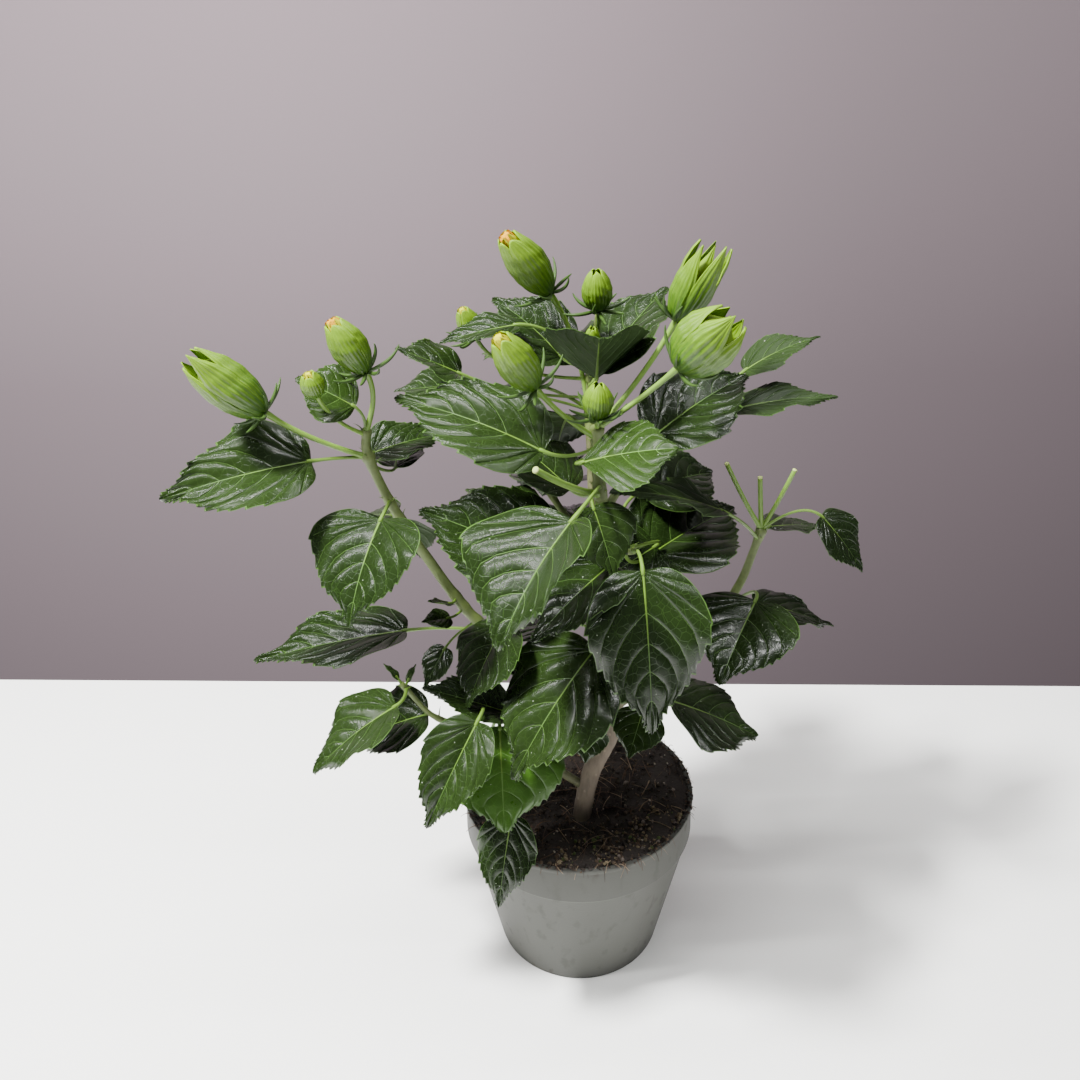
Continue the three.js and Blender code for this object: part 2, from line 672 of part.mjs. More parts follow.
const trunkSpace = limb(trunkCurve, trunkRadius, TRUNK_SIDES, trunkSteps, CLEAR);
const limbSpaces = [trunkSpace];
for (const { name, axis, radii } of BOUGHS) {
  const curve = smooth(axis);
  const steps = Math.round(curve.getLength() / BOUGH_STEP);
  const bough = limb(curve, taper(radii), BOUGH_SIDES, steps);
  addSolid(name, largest(bough.subtract(trunkSpace)), BOUGH_FINISH);
  limbSpaces.push(limb(curve, taper(radii), BOUGH_SIDES, steps, CLEAR));
}

const limbSpace = wasm.Manifold.union(limbSpaces);
const taken = takenPoints();
for (const mass of MASSES) {
  const rows = mass.fill ? [...mass.leaves, ...grow(mass, taken)] : mass.leaves;
  addSolid(mass.name, massSolid(mass, rows, limbSpace), LEAF_FINISH);
}

export default plant;
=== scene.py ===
# A young hibiscus shrub with buds, in its round nursery pot.
# It is built over the packed solids, in metres, +Z up, from the centre of the pot's underside.

import math

import bpy
import numpy as np
from mathutils import Matrix, Vector


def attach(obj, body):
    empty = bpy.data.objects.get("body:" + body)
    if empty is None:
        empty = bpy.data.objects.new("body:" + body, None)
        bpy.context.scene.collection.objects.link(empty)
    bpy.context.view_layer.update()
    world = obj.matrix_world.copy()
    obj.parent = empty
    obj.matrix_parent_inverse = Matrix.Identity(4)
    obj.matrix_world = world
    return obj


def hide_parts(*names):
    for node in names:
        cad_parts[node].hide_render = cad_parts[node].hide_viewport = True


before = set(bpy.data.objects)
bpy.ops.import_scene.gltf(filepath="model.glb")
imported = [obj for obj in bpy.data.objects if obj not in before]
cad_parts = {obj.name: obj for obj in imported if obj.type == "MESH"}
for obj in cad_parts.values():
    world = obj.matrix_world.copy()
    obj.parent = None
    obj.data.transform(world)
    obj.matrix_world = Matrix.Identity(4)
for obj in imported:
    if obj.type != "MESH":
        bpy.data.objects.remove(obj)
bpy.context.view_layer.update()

bl_info = {
    "name": "Potted hibiscus",
    "version": (1, 0, 0),
    "blender": (4, 5, 0),
    "location": "3D View > Sidebar > Hibiscus",
    "description": "Builds a hibiscus shrub with flower buds in a nursery pot",
    "category": "Add Mesh",
}

# The plant's plan, in millimetres and degrees

MM = 0.001
SOIL_LEVEL = 104
SOIL_EDGE = 61.8
COLLAR_HEIGHT = 23
COLLAR_STEP = 1.4
LIP_HEIGHT = 2.5
LIP_STEP = 0.8
POT_WALL = 1.8
POT_FLOOR = 2.4
FOOT_WAIST = 0.14
WAIST_HEIGHT = 14
TRUNK_SUNK = 4
STALK_BEND = 0.4
STALK_SINK = 2
STUB_SAG = 0.06
BLADE_END = 0.7
BELLY = 0.6
BLADE_FULLNESS = 0.85
CUP = 0.08
LOBE = 0.05
LOBE_SHARE = 0.3
BUD_BELLY = 0.92
OPEN_BELLY = 0.78
BUD_FULLNESS = 0.62
MOUTH = 0.84
GOLDEN_SECTION = 0.618
KEEP_OFF = 5
TEST_ROWS = 8

# The middle and the spread of each size and angle of a grown leaf
GROWN = {
    "heading": (0, 10),
    "stalk": (28, 8),
    "stalk_rise": (15, 25),
    "length": (60, 9),
    "width_share": (0.76, 0.05),
    "turn": (0, 25),
    "rise": (-22, 22),
    "roll": (0, 18),
    "droop": (25, 10),
    "fold": (12, 5),
}


def leaf(at, stalk, blade, set, belly=BELLY):
    """A leaf: its place on the stem, stalk [length, turn, rise], blade [length, width, turn, rise]
    and set [roll, droop, fold]."""
    return {"at": at, "stalk": stalk, "blade": blade, "set": set, "belly": belly}


def bud(at, stalk, body, open=0):
    """A bud: its place on the stem, stalk, body [length, width, turn, rise], how far it is open."""
    return {"at": at, "stalk": stalk, "body": body, "open": open}


def stub(at, stalk, radius):
    """A stalk cut off where a flower was."""
    return {"at": at, "stalk": stalk, "radius": radius}


TRUNK = {
    "name": "trunk",
    "axis": [
        [0, -25, SOIL_LEVEL - TRUNK_SUNK], [6, -20, 130], [17, -15, 154], [19, -13, 186],
        [17, -14, 226], [13, -15, 262], [10, -15, 295],
    ],
    "radii": [5.5, 2.9],
}
BOUGHS = [
    {
        "name": "bough_left",
        "axis": [[18, -12, 164], [-20, -12, 193], [-44, -10, 214]],
        "radii": [3.7, 2.9],
    },
    {
        "name": "bough_lower_left",
        "axis": [[3, -21, 121], [-15, -22, 136], [-44, -26, 158]],
        "radii": [2.5, 2.0],
    },
    {
        "name": "bough_right",
        "axis": [[19, -12, 170], [54, 22, 176], [88, 52, 190]],
        "radii": [4.1, 3.2],
    },
    {
        "name": "bough_back",
        "axis": [[17, -13, 226], [9, 8, 272], [7, 24, 312]],
        "radii": [2.9, 2.3],
    },
]

MASSES = [
    {
        "name": "foliage_left",
        "stem": [
            [-42, -10, 212], [-58, -10, 231], [-74, -10, 259],
            [-89, -10, 288], [-98, -10, 314], [-98, -10, 327],
        ],
        "radii": [2.7, 1.9],
        "leaves": [
            leaf(0.8, [26, -168, 2], [70, 47, -167, -9], [-35, 20, 18]),
            leaf(0.62, [18, -95, 1], [53, 58, -113, -47], [5, 30, 15], 0.52),
            leaf(0.05, [46, 165, -8], [83, 42, -177, -10], [-10, 10, 15]),
            leaf(0.25, [8, -100, 5], [18, 9, -130, 30], [0, 0, 10]),
            leaf(0.2, [10, -130, -8], [16, 13, -150, 10], [-20, 0, 10]),
            leaf(0.06, [22, -57, 35], [45, 44, -126, -44], [15, 20, 10]),
            leaf(0.12, [21, -154, -30], [23, 17, -136, -48], [-10, 10, 10]),
            leaf(1.0, [14, -125, 70], [29, 33, -178, 30], [-30, 15, 8], 0.75),
            leaf(0.8, [11, 94, -15], [40, 28, 28, 3], [20, 20, 20]),
            leaf(0.76, [20, 62, -24], [36, 26, 93, 1], [0, 20, 10]),
            leaf(0.55, [8, 125, -5], [28, 20, 130, -20], [-20, 10, 10]),
            leaf(0.5, [13, 115, 8], [34, 28, 69, -62], [0, 20, 10]),
        ],
        "buds": [
            bud(0.8, [50, -169, 31], [43, 20, -168, 45], 0.25),
            bud(1.0, [28, -20, 82], [31, 15.5, -165, 63]),
            bud(0.97, [35, -130, 46], [14, 10, -120, 70]),
        ],
    },
    {
        "name": "foliage_lower_left",
        "stem": [[-42, -25.5, 156.5], [-60, -29, 170], [-76, -30, 179], [-90, -30, 199]],
        "radii": [1.9, 1.1],
        "leaves": [
            leaf(0.95, [15, -102, 2], [53, 44, -160, -33], [0, 25, 15]),
            leaf(0.6, [8, 136, -9], [48, 40, 176, -27], [-20, 30, 15]),
            leaf(0.15, [30, -43, 53], [46, 30, -173, 26], [-20, 10, 25]),
            leaf(0.3, [43, -76, 42], [56, 36, -133, -49], [-25, 30, 25]),
            leaf(0.1, [29, -70, 49], [52, 60, -87, -53], [0, 20, 5], 0.75),
            leaf(0.07, [40, -72, -41], [48, 31, -110, -62], [0, 10, 5]),
            leaf(1.0, [3, 170, 60], [11, 5, 165, 50], [0, 10, 20]),
            leaf(0.97, [3, 20, 50], [10, 5, 40, 55], [0, 10, 20]),
        ],
        "buds": [],
    },
    {
        "name": "foliage_fork",
        "stem": [[19, -13, 174], [26, -22, 180], [32, -27, 185]],
        "radii": [1.7, 1.3],
        "leaves": [
            leaf(1.0, [13, -14, 2], [52, 52, -3, -26], [5, 15, 5], 0.8),
            leaf(0.45, [25, -150, -14], [20, 21, -107, -62], [0, 0, 5]),
            leaf(0.8, [6, -60, -40], [26, 28, -120, -50], [0, 0, 5]),
        ],
        "buds": [],
    },
    {
        "name": "foliage_front",
        "stem": [[17, -14, 222], [14, -24, 226], [11, -33, 230]],
        "radii": [1.7, 1.3],
        "leaves": [
            leaf(1.0, [11, -114, -16], [75, 62, -143, -46], [-10, 25, 10]),
        ],
        "buds": [],
    },
    {
        "name": "foliage_front_right",
        "stem": [[13, -15, 262], [20, -21, 267], [25, -28, 271]],
        "radii": [1.7, 1.3],
        "leaves": [
            leaf(1.0, [27, -87, 10], [76, 54, -82, -69], [5, 25, 10]),
            leaf(0.5, [17, -110, 8], [52, 50, -146, -30], [0, 20, 12]),
            leaf(0.6, [34, 62, -32], [80, 60, 46, -1], [20, 20, 15]),
            leaf(0.8, [56, 79, 5], [62, 50, 43, -8], [30, 20, 15]),
            leaf(0.3, [35, 48, -17], [44, 42, -150, -18], [-35, 15, 12]),
        ],
        "buds": [],
    },
    {
        "name": "foliage_top_front",
        "stem": [[10, -15, 293], [8, -15, 311], [8, -15, 328]],
        "radii": [2.7, 2.2],
        "leaves": [
            leaf(0.15, [49, -107, 8], [65, 74, -130, -39], [14, 25, 27], 0.72),
            leaf(0.05, [41, -164, -51], [68, 58, 165, 18], [-32, 12, 15]),
            leaf(0.72, [28, -152, 8], [73, 47, 165, 16], [-30, 30, 15]),
            leaf(0.62, [21, -114, 11], [44, 44, -10, 12], [22, 20, 3], 1.2),
            leaf(0.12, [25, 124, -21], [46, 44, 147, 29], [0, 15, 10]),
            leaf(0.05, [19, -104, 8], [34, 32, -60, -58], [10, 20, 15]),
        ],
        "buds": [
            bud(0.85, [40, -160, 44], [35, 16.5, -148, 55]),
            bud(0.97, [60, 28, 47], [41, 18.5, 2, 64], 0.5),
            bud(1.0, [45, -9, 40], [36, 26, -10, 46], 0.3),
            bud(1.0, [7, -94, 50], [19, 13, -73, 84]),
        ],
        "stubs": [stub(0.04, [56, -129, 32], 1.6)],
    },
    {
        "name": "foliage_top_back",
        "stem": [[7, 23, 310], [7, 30, 330], [9, 31, 350], [11, 30, 368]],
        "radii": [2.2, 1.5],
        "leaves": [
            leaf(0.28, [67, -163, 17], [34, 30, -161, 28], [-20, 10, 15]),
            leaf(0.18, [69, -167, 16], [30, 28, 173, -6], [-10, 10, 15]),
            leaf(0.48, [46, -163, 37], [38, 20, -165, -8], [-20, 15, 15]),
            leaf(0.53, [16, -168, 21], [46, 42, 151, 33], [-20, 30, 15]),
            leaf(0.5, [23, -87, 8], [46, 58, -92, 40], [0, 15, 38]),
            leaf(0.38, [19, -79, 34], [62, 46, 47, 30], [-5, 20, 15]),
            leaf(0.6, [10, 15, 38], [36, 30, 30, 20], [0, 15, 10]),
        ],
        "buds": [
            bud(0.08, [66, 163, 73], [42, 17.5, -147, 51]),
            bud(0.43, [59, 180, 21], [19, 10.5, -146, 66]),
            bud(0.82, [17, -88, 52], [22, 13.5, -106, 76]),
            bud(0.45, [29, -91, 44], [13, 7, -94, 67]),
        ],
        "fill": {
            "seed": 23, "tries": 40, "most": 4, "from": 0,
            "centre": [0, 65, 318], "reach": 66, "turn": 130, "spread": 55,
        },
    },
    {
        "name": "foliage_top_right",
        "stem": [[11, -15, 284], [30, 2, 306], [50, 14, 318], [68, 24, 324]],
        "radii": [2.0, 1.3],
        "leaves": [
            leaf(0.48, [14, -107, 28], [61, 46, 32, 18], [25, 30, 15]),
            leaf(0.9, [15, -4, 1], [49, 24, -6, 8], [15, 20, 12]),
            leaf(1.0, [23, 34, 34], [40, 24, 2, 24], [15, 30, 12]),
        ],
        "buds": [],
    },
    {
        "name": "foliage_right",
        "stem": [[87, 51, 189], [98, 59, 205], [106, 60, 235]],
        "radii": [2.6, 2.0],
        "leaves": [
            leaf(0.03, [40, -74, 35], [54, 58, -122, -30], [-5, 20, 12]),
            leaf(0.12, [16, -32, 10], [59, 30, 16, -26], [10, 15, 10]),
            leaf(0.9, [61, -128, 38], [78, 24, -148, 23], [-20, 20, 15]),
            leaf(1.0, [34, -18, 22], [40, 31, -23, -50], [20, 20, 10]),
            leaf(0.95, [8, 41, 14], [48, 26, 33, -16], [0, 10, 10]),
        ],
        "buds": [],
        "stubs": [
            stub(1.0, [49, -168, 61], 1.3),
            stub(1.0, [32, 180, 84], 1.4),
            stub(1.0, [39, 0, 67], 1.3),
        ],
    },
    {
        "name": "foliage_back_low",
        "stem": [[19, -13, 190], [17, 8, 206], [13, 28, 222], [11, 42, 240]],
        "radii": [1.9, 1.3],
        "leaves": [],
        "buds": [],
        "fill": {
            "seed": 5, "tries": 50, "most": 6, "from": 0.15,
            "centre": [12, 60, 205], "reach": 85, "turn": 90, "spread": 110,
        },
    },
    {
        "name": "foliage_back_middle",
        "stem": [[13, -15, 256], [-4, 10, 268], [-18, 32, 284], [-24, 44, 300]],
        "radii": [1.9, 1.3],
        "leaves": [],
        "buds": [],
        "fill": {
            "seed": 11, "tries": 60, "most": 6, "from": 0.15,
            "centre": [-8, 65, 262], "reach": 68, "turn": 110, "spread": 50,
        },
    },
]

# The green of each leaf in its mass's order: d deep, m middle, f fresh, l young and lit, a lighter green
# that is partly painted light standing for a lit leaf, p pale and dull.
# The buds' tips: g green, y yellow, o orange.
LEAF_TONES = {
    "foliage_left": "mdddddmfdddd",
    "foliage_lower_left": "mddmldff",
    "foliage_fork": "dmm",
    "foliage_front": "m",
    "foliage_front_right": "ddddd",
    "foliage_top_front": "ddmfdm",
    "foliage_top_back": "ddddddd",
    "foliage_top_right": "dpp",
    "foliage_right": "ddpdd",
}
GROWN_TONES = "dmd"
BUD_TIPS = {"foliage_left": "goy", "foliage_top_front": "yggg", "foliage_top_back": "oygg"}

# Where each side vein leaves the midrib and meets the margin, as shares of the blade's length,
# on a large blade and on a small one. The first is the blade's foot and the last its tip.
VEINS = (
    (0, 0), (0.004, 0.13), (0.009, 0.33), (0.016, 0.56), (0.25, 0.7), (0.43, 0.81), (0.6, 0.9),
    (0.78, 0.965), (1, 1),
)
FEW_VEINS = ((0, 0), (0.005, 0.22), (0.013, 0.5), (0.27, 0.67), (0.48, 0.81), (0.7, 0.93), (1, 1))
SMALL_BLADE = 40
# How much a side vein curves forward on its way to the margin
VEIN_CURVE = 1.25
# Places along one space between side veins, and how far the margin stands out there: two teeth
# that rise slowly and end in a notch
MARGIN = (
    (0, 1.0), (0.013, 0.9), (0.07, -0.6), (0.17, -0.3), (0.29, 0.2), (0.4, 0.7), (0.48, 1.0),
    (0.54, -0.6), (0.65, -0.2), (0.78, 0.3), (0.9, 0.75), (0.987, 1.0),
)
# The share of that space beside each vein that the vein itself takes up
VEIN_SHARE = 0.013
# How far along a blade the side veins can be told from its net
VEINED_TO = 0.84
# The places of a blade's points from its midrib to its margin
ACROSS = (0, 0.011, 0.06, 0.18, 0.34, 0.52, 0.7, 0.84, 0.94, 0.982, 1.0)
# How far along a blade its teeth begin
TOOTHED_FROM = 0.2
# A blade's thickness at its midrib, and how much thinner it is at its margin
BLADE_THICK = 0.42
BLADE_THINNER = 0.2
# The radius of a large leaf's stalk, and of the midrib that stands out below the blade
STALK_RADIUS = 0.95
MIDRIB_RADIUS = 0.75
# A leaf longer than this has two stipules, and how long and how far to the side they are
STIPULED_FROM = 25
STIPULE = 6.5
STIPULE_TURN = 55

# How far a blade 60 mm long puffs up between its veins, swells unevenly and waves at its margin
PUFF = 1.25
SWELL = 1.5
WAVE = 2.1

# The corners of the box that the whole plant keeps within
PLANT_BOX = ((-190.5, -109, 0), (160, 111.2, 410.4))

SEPALS = 5
# How many tones a sepal has from its foot to its tip
SEPAL_TONES = 8
# A bud open further than this shows the gap between two sepals
BUD_GAPES = 0.4
# How late and how sharply a sepal narrows to its tip, and at what share of its outline a bud ends
CLOSED_TIP = (2.8, 0.7)
OPEN_TIP = (1.4, 0.9)
FLAMED_MOUTH = 0.9
CLOSED_MOUTH = 0.96
# The share of a sepal's length that leaves coloured petals in sight, and how far the petals reach
FLAMED_SHORT = 0.07
PETAL_REACH = 0.93
# The points round the rolled petals, and how many crumpled tips show
PETAL_POINTS = 40
PETAL_TIPS = 8
# The lengths above which a bud stands on a thick stalk, and above which it has bracts
LARGE_BUD = 30
BRACTED_FROM = 14

# The bark's mesh: the length of a step along a limb, and how much its ridges are drawn out
BARK_STEP = 1.5
RIDGE_STRETCH = 4
# How many sides the round pieces have, and how many rings the soil's top has
TRUNK_SIDES = 44
BOUGH_SIDES = 28
POT_SIDES = 144
SOIL_SIDES = 120
SOIL_RINGS = 34
# The soil's height at its edge, its crown's rise above that, and how far from the trunk it stays
# firm and from where it is loose
SOIL_EDGE_LEVEL = 102
SOIL_CROWN = 2.6
FIRM_TO = 14
LOOSE_FROM = 30

# The far edge of the table and the wall behind it, and their sizes, in metres
TABLE_EDGE = 0.238
TABLE_TURN = -2.6
TABLE_SIZE = (6, 3, 1)
WALL_AT = 1.0
WALL_SIZE = (8, 6, 1)
# The shares of the wall's width, from its middle, between which a painted shade darkens it towards the
# right, and how dark that painted shade gets
WALL_SHADE_SPAN = (-0.05, 0.07)
WALL_SHADE_DEPTH = 0.72
# The even light of the room
ROOM_COLOR = (0.93, 0.95, 1.0, 1)
ROOM_STRENGTH = 0.12
# The lights over the table: how far each is across and back, its size and its share of the power
LIGHTS = (
    ("near_left", -0.95, -0.45, 0.8, 0.02, 0.12), ("far_left", -1.1, 0.08, 0.9, 0.02, 0.15),
    ("near_middle", -0.1, -0.4, 0.9, 0.02, 0.12), ("far_middle", -0.1, 0.04, 0.9, 0.02, 0.12),
    ("near_right", 0.95, -0.4, 0.9, 0.02, 0.04), ("far_right", 0.95, 0.04, 0.9, 0.02, 0.07),
)
LIGHT_HEIGHT = 1.4
# The soft light from the upper left, which lights without a glare of its own
KEY_PLACE = (-0.6, -0.22, 1.35)
KEY_SIZE = (0.16, 0.16)
# The heights between which the trunk's bark turns green
GREEN_FROM = (0.15, 0.21)
# The camera's place in metres, and its tilt forward and to the side in degrees
CAMERA_PLACE = (-0.019, -0.44, 0.497)
CAMERA_PITCH = 28
CAMERA_ROLL = -1.2

# The numbers of the materials on the leaves, twigs and buds
TONES = {"d": 0, "m": 1, "f": 2, "l": 3, "p": 4}
PALE, UNDERSIDE, DARK_VEIN, LIGHT_VEIN, UNDER_VEIN, EDGE = 4, 5, 6, 7, 8, 9
STEM, STALK, BUD_STALK, BRACT, CUT_END = 0, 1, 2, 3, 4
PETAL_TONES = {"g": SEPAL_TONES, "y": SEPAL_TONES + 1, "o": SEPAL_TONES + 2}


# Curves and surfaces


def seeded(seed):
    """A seeded source of even numbers from 0 to 1."""
    state = seed
    while True:
        state = (state * 16807) % 2147483647
        yield state / 2147483647


def direction(turn, rise):
    """The unit vector at a turn about +Z and a rise above the level."""
    turn, rise = math.radians(turn), math.radians(rise)
    return np.array([math.cos(rise) * math.cos(turn), math.cos(rise) * math.sin(turn), math.sin(rise)])


def unit(vector):
    return vector / np.linalg.norm(vector)


def smoothstep(low, high, value):
    t = np.clip((value - low) / (high - low), 0, 1)
    return t * t * (3 - 2 * t)


class Curve:
    """A smooth curve through points."""

    def __init__(self, points):
        self.points = np.array(points, float)

    def point(self, t):
        p, last = self.points, len(self.points) - 1
        i = min(int(t * last), last - 1)
        w = t * last - i
        before = p[i - 1] if i else 2 * p[0] - p[1]
        after = p[i + 2] if i + 2 <= last else 2 * p[last] - p[last - 1]
        a, b = (p[i + 1] - before) / 2, (after - p[i]) / 2
        rise = p[i + 1] - p[i]
        return p[i] + a * w + (3 * rise - 2 * a - b) * w**2 + (a + b - 2 * rise) * w**3

    def path(self, steps):
        return np.array([self.point(i / steps) for i in range(steps + 1)])

    def length(self):
        return np.linalg.norm(np.diff(self.path(60), axis=0), axis=1).sum()


def headings(path):
    """The unit direction of a path at each of its points."""
    along = np.gradient(path, axis=0)
    return along / np.linalg.norm(along, axis=1)[:, None]


def bent(start, bend, end, steps):
    """Points of an arc from start to end that leans towards bend."""
    t = np.linspace(0, 1, steps + 1)[:, None]
    return (1 - t) ** 2 * start + 2 * t * (1 - t) * bend + t**2 * end


def stalk_end(start, row):
    return start + direction(*row["stalk"][1:]) * row["stalk"][0]


def blade_outline(s, belly):
    return np.sin(np.pi * np.clip(s, 0, 1) ** belly).clip(0) ** BLADE_FULLNESS


def blade_frame(turn, rise, roll):
    chord = direction(turn, rise)
    side = unit(np.cross(chord, (0, 0, 1)))
    face = np.cross(side, chord)
    roll = math.radians(roll)
    face = face * math.cos(roll) + np.cross(chord, face) * math.sin(roll)
    return chord, face, np.cross(chord, face)


def blade_surface(foot, row):
    """A function that gives the blade's points at u across (-1 to 1), s along (0 to 1), lifted off
    its middle surface and moved out and forward at the margin. It is the solids' rule; a fine one
    also gets rounded lobes at its foot and a drawn-out tip."""
    length, width, turn, rise = row["blade"]
    roll, droop, fold = row["set"]
    chord, face, side = blade_frame(turn, rise, roll)
    bend, fold = math.radians(droop), math.radians(fold)

    def surface(u, s, lift=0.0, out=0.0, ahead=0.0, fine=False):
        given = [np.asarray(value, float) for value in (u, s, lift, out, ahead)]
        u, s, lift, out, ahead = np.broadcast_arrays(*given)
        half = width / 2 * blade_outline(s, row["belly"])
        back = LOBE * length * u**2 * (1 - s / LOBE_SHARE).clip(0) ** 2
        if fine:
            fuller = 0.05 * np.exp(-(((s - 0.35) / 0.15) ** 2))
            drawn_in = 0.42 * np.exp(-(((s - 0.88) / 0.11) ** 2))
            half = half * (1 + fuller - drawn_in)
            back = back * smoothstep(0, 0.3 * width, half)
        else:
            half = half.clip(BLADE_END)
        angle = bend * (0.5 - s)
        if bend > 0:
            x = length / bend * (math.sin(bend / 2) - np.sin(angle))
            y = length / bend * (np.cos(angle) - math.cos(bend / 2))
        else:
            x, y = s * length, 0 * s
        along = chord * np.cos(angle)[..., None] + face * np.sin(angle)[..., None]
        normal = face * np.cos(angle)[..., None] - chord * np.sin(angle)[..., None]
        height = abs(u) * half * math.sin(fold) - CUP * u**2 * half + lift
        return (
            foot + chord * x[..., None] + face * y[..., None]
            + side * (u * half * math.cos(fold) + np.sign(u) * out)[..., None]
            + normal * height[..., None] + along * (ahead - back)[..., None]
        )

    return surface


def leaf_points(start, row):
    """Points over a leaf and the outer half of its stalk, to test what is clear of it."""
    foot = stalk_end(start, row)
    grid = blade_surface(foot, row)(np.linspace(-1, 1, 5), np.linspace(0, 1, TEST_ROWS + 1)[:, None])
    return np.vstack([start + (foot - start) * 0.5, start + (foot - start) * 0.75, grid.reshape(-1, 3)])


def grow(mass, taken):
    """The growing rule: leaves stand along the stem, spread to its outer side by the golden section,
    each a little off by the seed. One that would leave its space, or come near another, is skipped."""
    fill = mass["fill"]
    numbers = seeded(fill["seed"])
    curve, centre, grown = Curve(mass["stem"]), np.array(fill["centre"]), []

    def vary(size):
        middle, off = GROWN[size]
        return middle + off * (2 * next(numbers) - 1)

    for i in range(fill["tries"]):
        if len(grown) == fill["most"]:
            break
        at = fill["from"] + (1 - fill["from"]) * ((i * GOLDEN_SECTION) % 1)
        across = 2 * ((i * GOLDEN_SECTION * 2 + 0.5) % 1) - 1
        heading = fill["turn"] + fill["spread"] * across + vary("heading")
        stalk = [vary("stalk"), heading, vary("stalk_rise")]
        length = vary("length")
        width = length * vary("width_share")
        blade = [length, width, heading + vary("turn"), vary("rise")]
        row = leaf(at, stalk, blade, [vary("roll"), vary("droop"), vary("fold")])
        points = leaf_points(curve.point(at), row)
        inside = np.linalg.norm(points - centre, axis=1).max() < fill["reach"]
        gaps = np.linalg.norm(points[:, None] - np.array(taken)[None], axis=2)
        if inside and gaps.min() > KEEP_OFF:
            grown.append(row)
            taken.extend(points)
    return grown


def taken_points():
    """Every point that the limbs and the given leaves and buds take up."""
    taken = [p for limb in [TRUNK, *BOUGHS] for p in Curve(limb["axis"]).path(40)]
    for mass in MASSES:
        curve = Curve(mass["stem"])
        taken.extend(curve.path(16))
        for row in mass["leaves"]:
            taken.extend(leaf_points(curve.point(row["at"]), row))
        for row in mass["buds"]:
            foot = stalk_end(curve.point(row["at"]), row)
            reach = direction(*row["body"][2:]) * row["body"][0]
            taken.extend(foot + reach * s for s in (0, 0.25, 0.5, 0.75, 1))
    return taken


# Joined meshes


class Joined:
    """Many small shapes gathered, in millimetres, into the mesh of one piece."""

    def __init__(self):
        self.points, self.faces, self.finishes, self.count = [], [], [], 0

    def add(self, points, faces, finish, caps=()):
        """Adds a shape: points, faces of four corners with their material's number, for all of them
        or for each, and caps of any number of corners."""
        points = np.asarray(points, float).reshape(-1, 3)
        self.points.append(points)
        self.faces.extend((np.asarray(faces) + self.count).tolist())
        self.faces.extend([self.count + corner for corner in cap] for cap in caps)
        self.finishes.append(np.broadcast_to(finish, len(faces)))
        self.finishes.append(np.full(len(caps), np.ravel(finish)[-1]))
        self.count += len(points)

    def build(self, name, finishes):
        mesh = bpy.data.meshes.new(name)
        mesh.from_pydata((np.concatenate(self.points) * MM).tolist(), [], self.faces)
        mesh.polygons.foreach_set("material_index", np.concatenate(self.finishes).astype(int))
        mesh.polygons.foreach_set("use_smooth", [True] * len(self.faces))
        for finish in finishes:
            mesh.materials.append(finish)
        mesh.update()
        piece = bpy.data.objects.new(name, mesh)
        bpy.context.collection.objects.link(piece)
        return piece


def grid_faces(rows, columns, start=0, turned=False, closed=False):
    """The quads of a grid of points laid row by row. A closed one joins its last column to its first."""
    r = np.arange(rows - 1)[:, None]
    c = np.arange(columns if closed else columns - 1)[None]
    d = (c + 1) % columns
    here, ahead = r * columns, (r + 1) * columns
    quads = np.stack([here + c, here + d, ahead + d, ahead + c], axis=-1).reshape(-1, 4) + start
    return quads[:, ::-1] if turned else quads


def rim_faces(lines, count):
    """The faces that close a sheet's edge between its two sides, whose points are count apart.
    Each line of points says whether its faces turn the other way."""
    faces = []
    for line, flip in lines:
        quads = np.stack([line[:-1], line[1:], line[1:] + count, line[:-1] + count], axis=-1)
        faces.append(quads if flip else quads[:, ::-1])
    return faces


def tube(joined, path, radii, sides, finish, wobble=None):
    """A round limb along a path of points, closed and rounded at both ends."""
    path = np.asarray(path, float)
    tangents = headings(path)
    radii = np.broadcast_to(radii, len(path)).astype(float)
    before = path[:1] - tangents[:1] * radii[0] * 0.3
    after = path[-1:] + tangents[-1:] * radii[-1] * 0.3
    path = np.vstack([before, path, after])
    tangents = np.vstack([tangents[:1], tangents, tangents[-1:]])
    radii = np.concatenate([[radii[0] * 0.75], radii, [radii[-1] * 0.75]])
    across = np.array([0.31, 0.95, 0.06])
    rings = []
    turns = np.arange(sides) * 2 * np.pi / sides
    for i, (centre, along, radius) in enumerate(zip(path, tangents, radii)):
        across = unit(across - along * (across @ along))
        beside = np.cross(along, across)
        size = radius * (1 + (wobble(i, turns) if wobble else 0 * turns))
        spokes = across * np.cos(turns)[:, None] + beside * np.sin(turns)[:, None]
        rings.append(centre + spokes * size[:, None])
    points = np.concatenate(rings)
    caps = [range(sides)[::-1], range(len(points) - sides, len(points))]
    joined.add(points, grid_faces(len(path), sides, closed=True), finish, caps)


# Leaves, stalks and buds


def blade_grid(length):
    """The places of a blade's grid, whose rows run along its side veins: how far it is across and
    along, how far each row is between two veins, and how far its end stands out as a tooth."""
    veins = VEINS if length >= SMALL_BLADE else FEW_VEINS
    rows = [(k + share, share, tooth) for k in range(len(veins) - 1) for share, tooth in MARGIN]
    q, share, tooth = np.array([*rows, (len(veins) - 1, 0, 0)]).T[:, :, None]
    half = np.array(ACROSS)
    u = np.concatenate([-half[:0:-1], half])[None]
    at = np.arange(len(veins))
    beside = np.where(abs(share - np.round(share)) <= VEIN_SHARE, 0.8 * abs(u), 0)
    q = q + (np.round(q) - q) * beside
    inner, outer = (np.interp(q, at, [vein[i] for vein in veins]) for i in (0, 1))
    return u, inner + (outer - inner) * abs(u) ** VEIN_CURVE, share, tooth


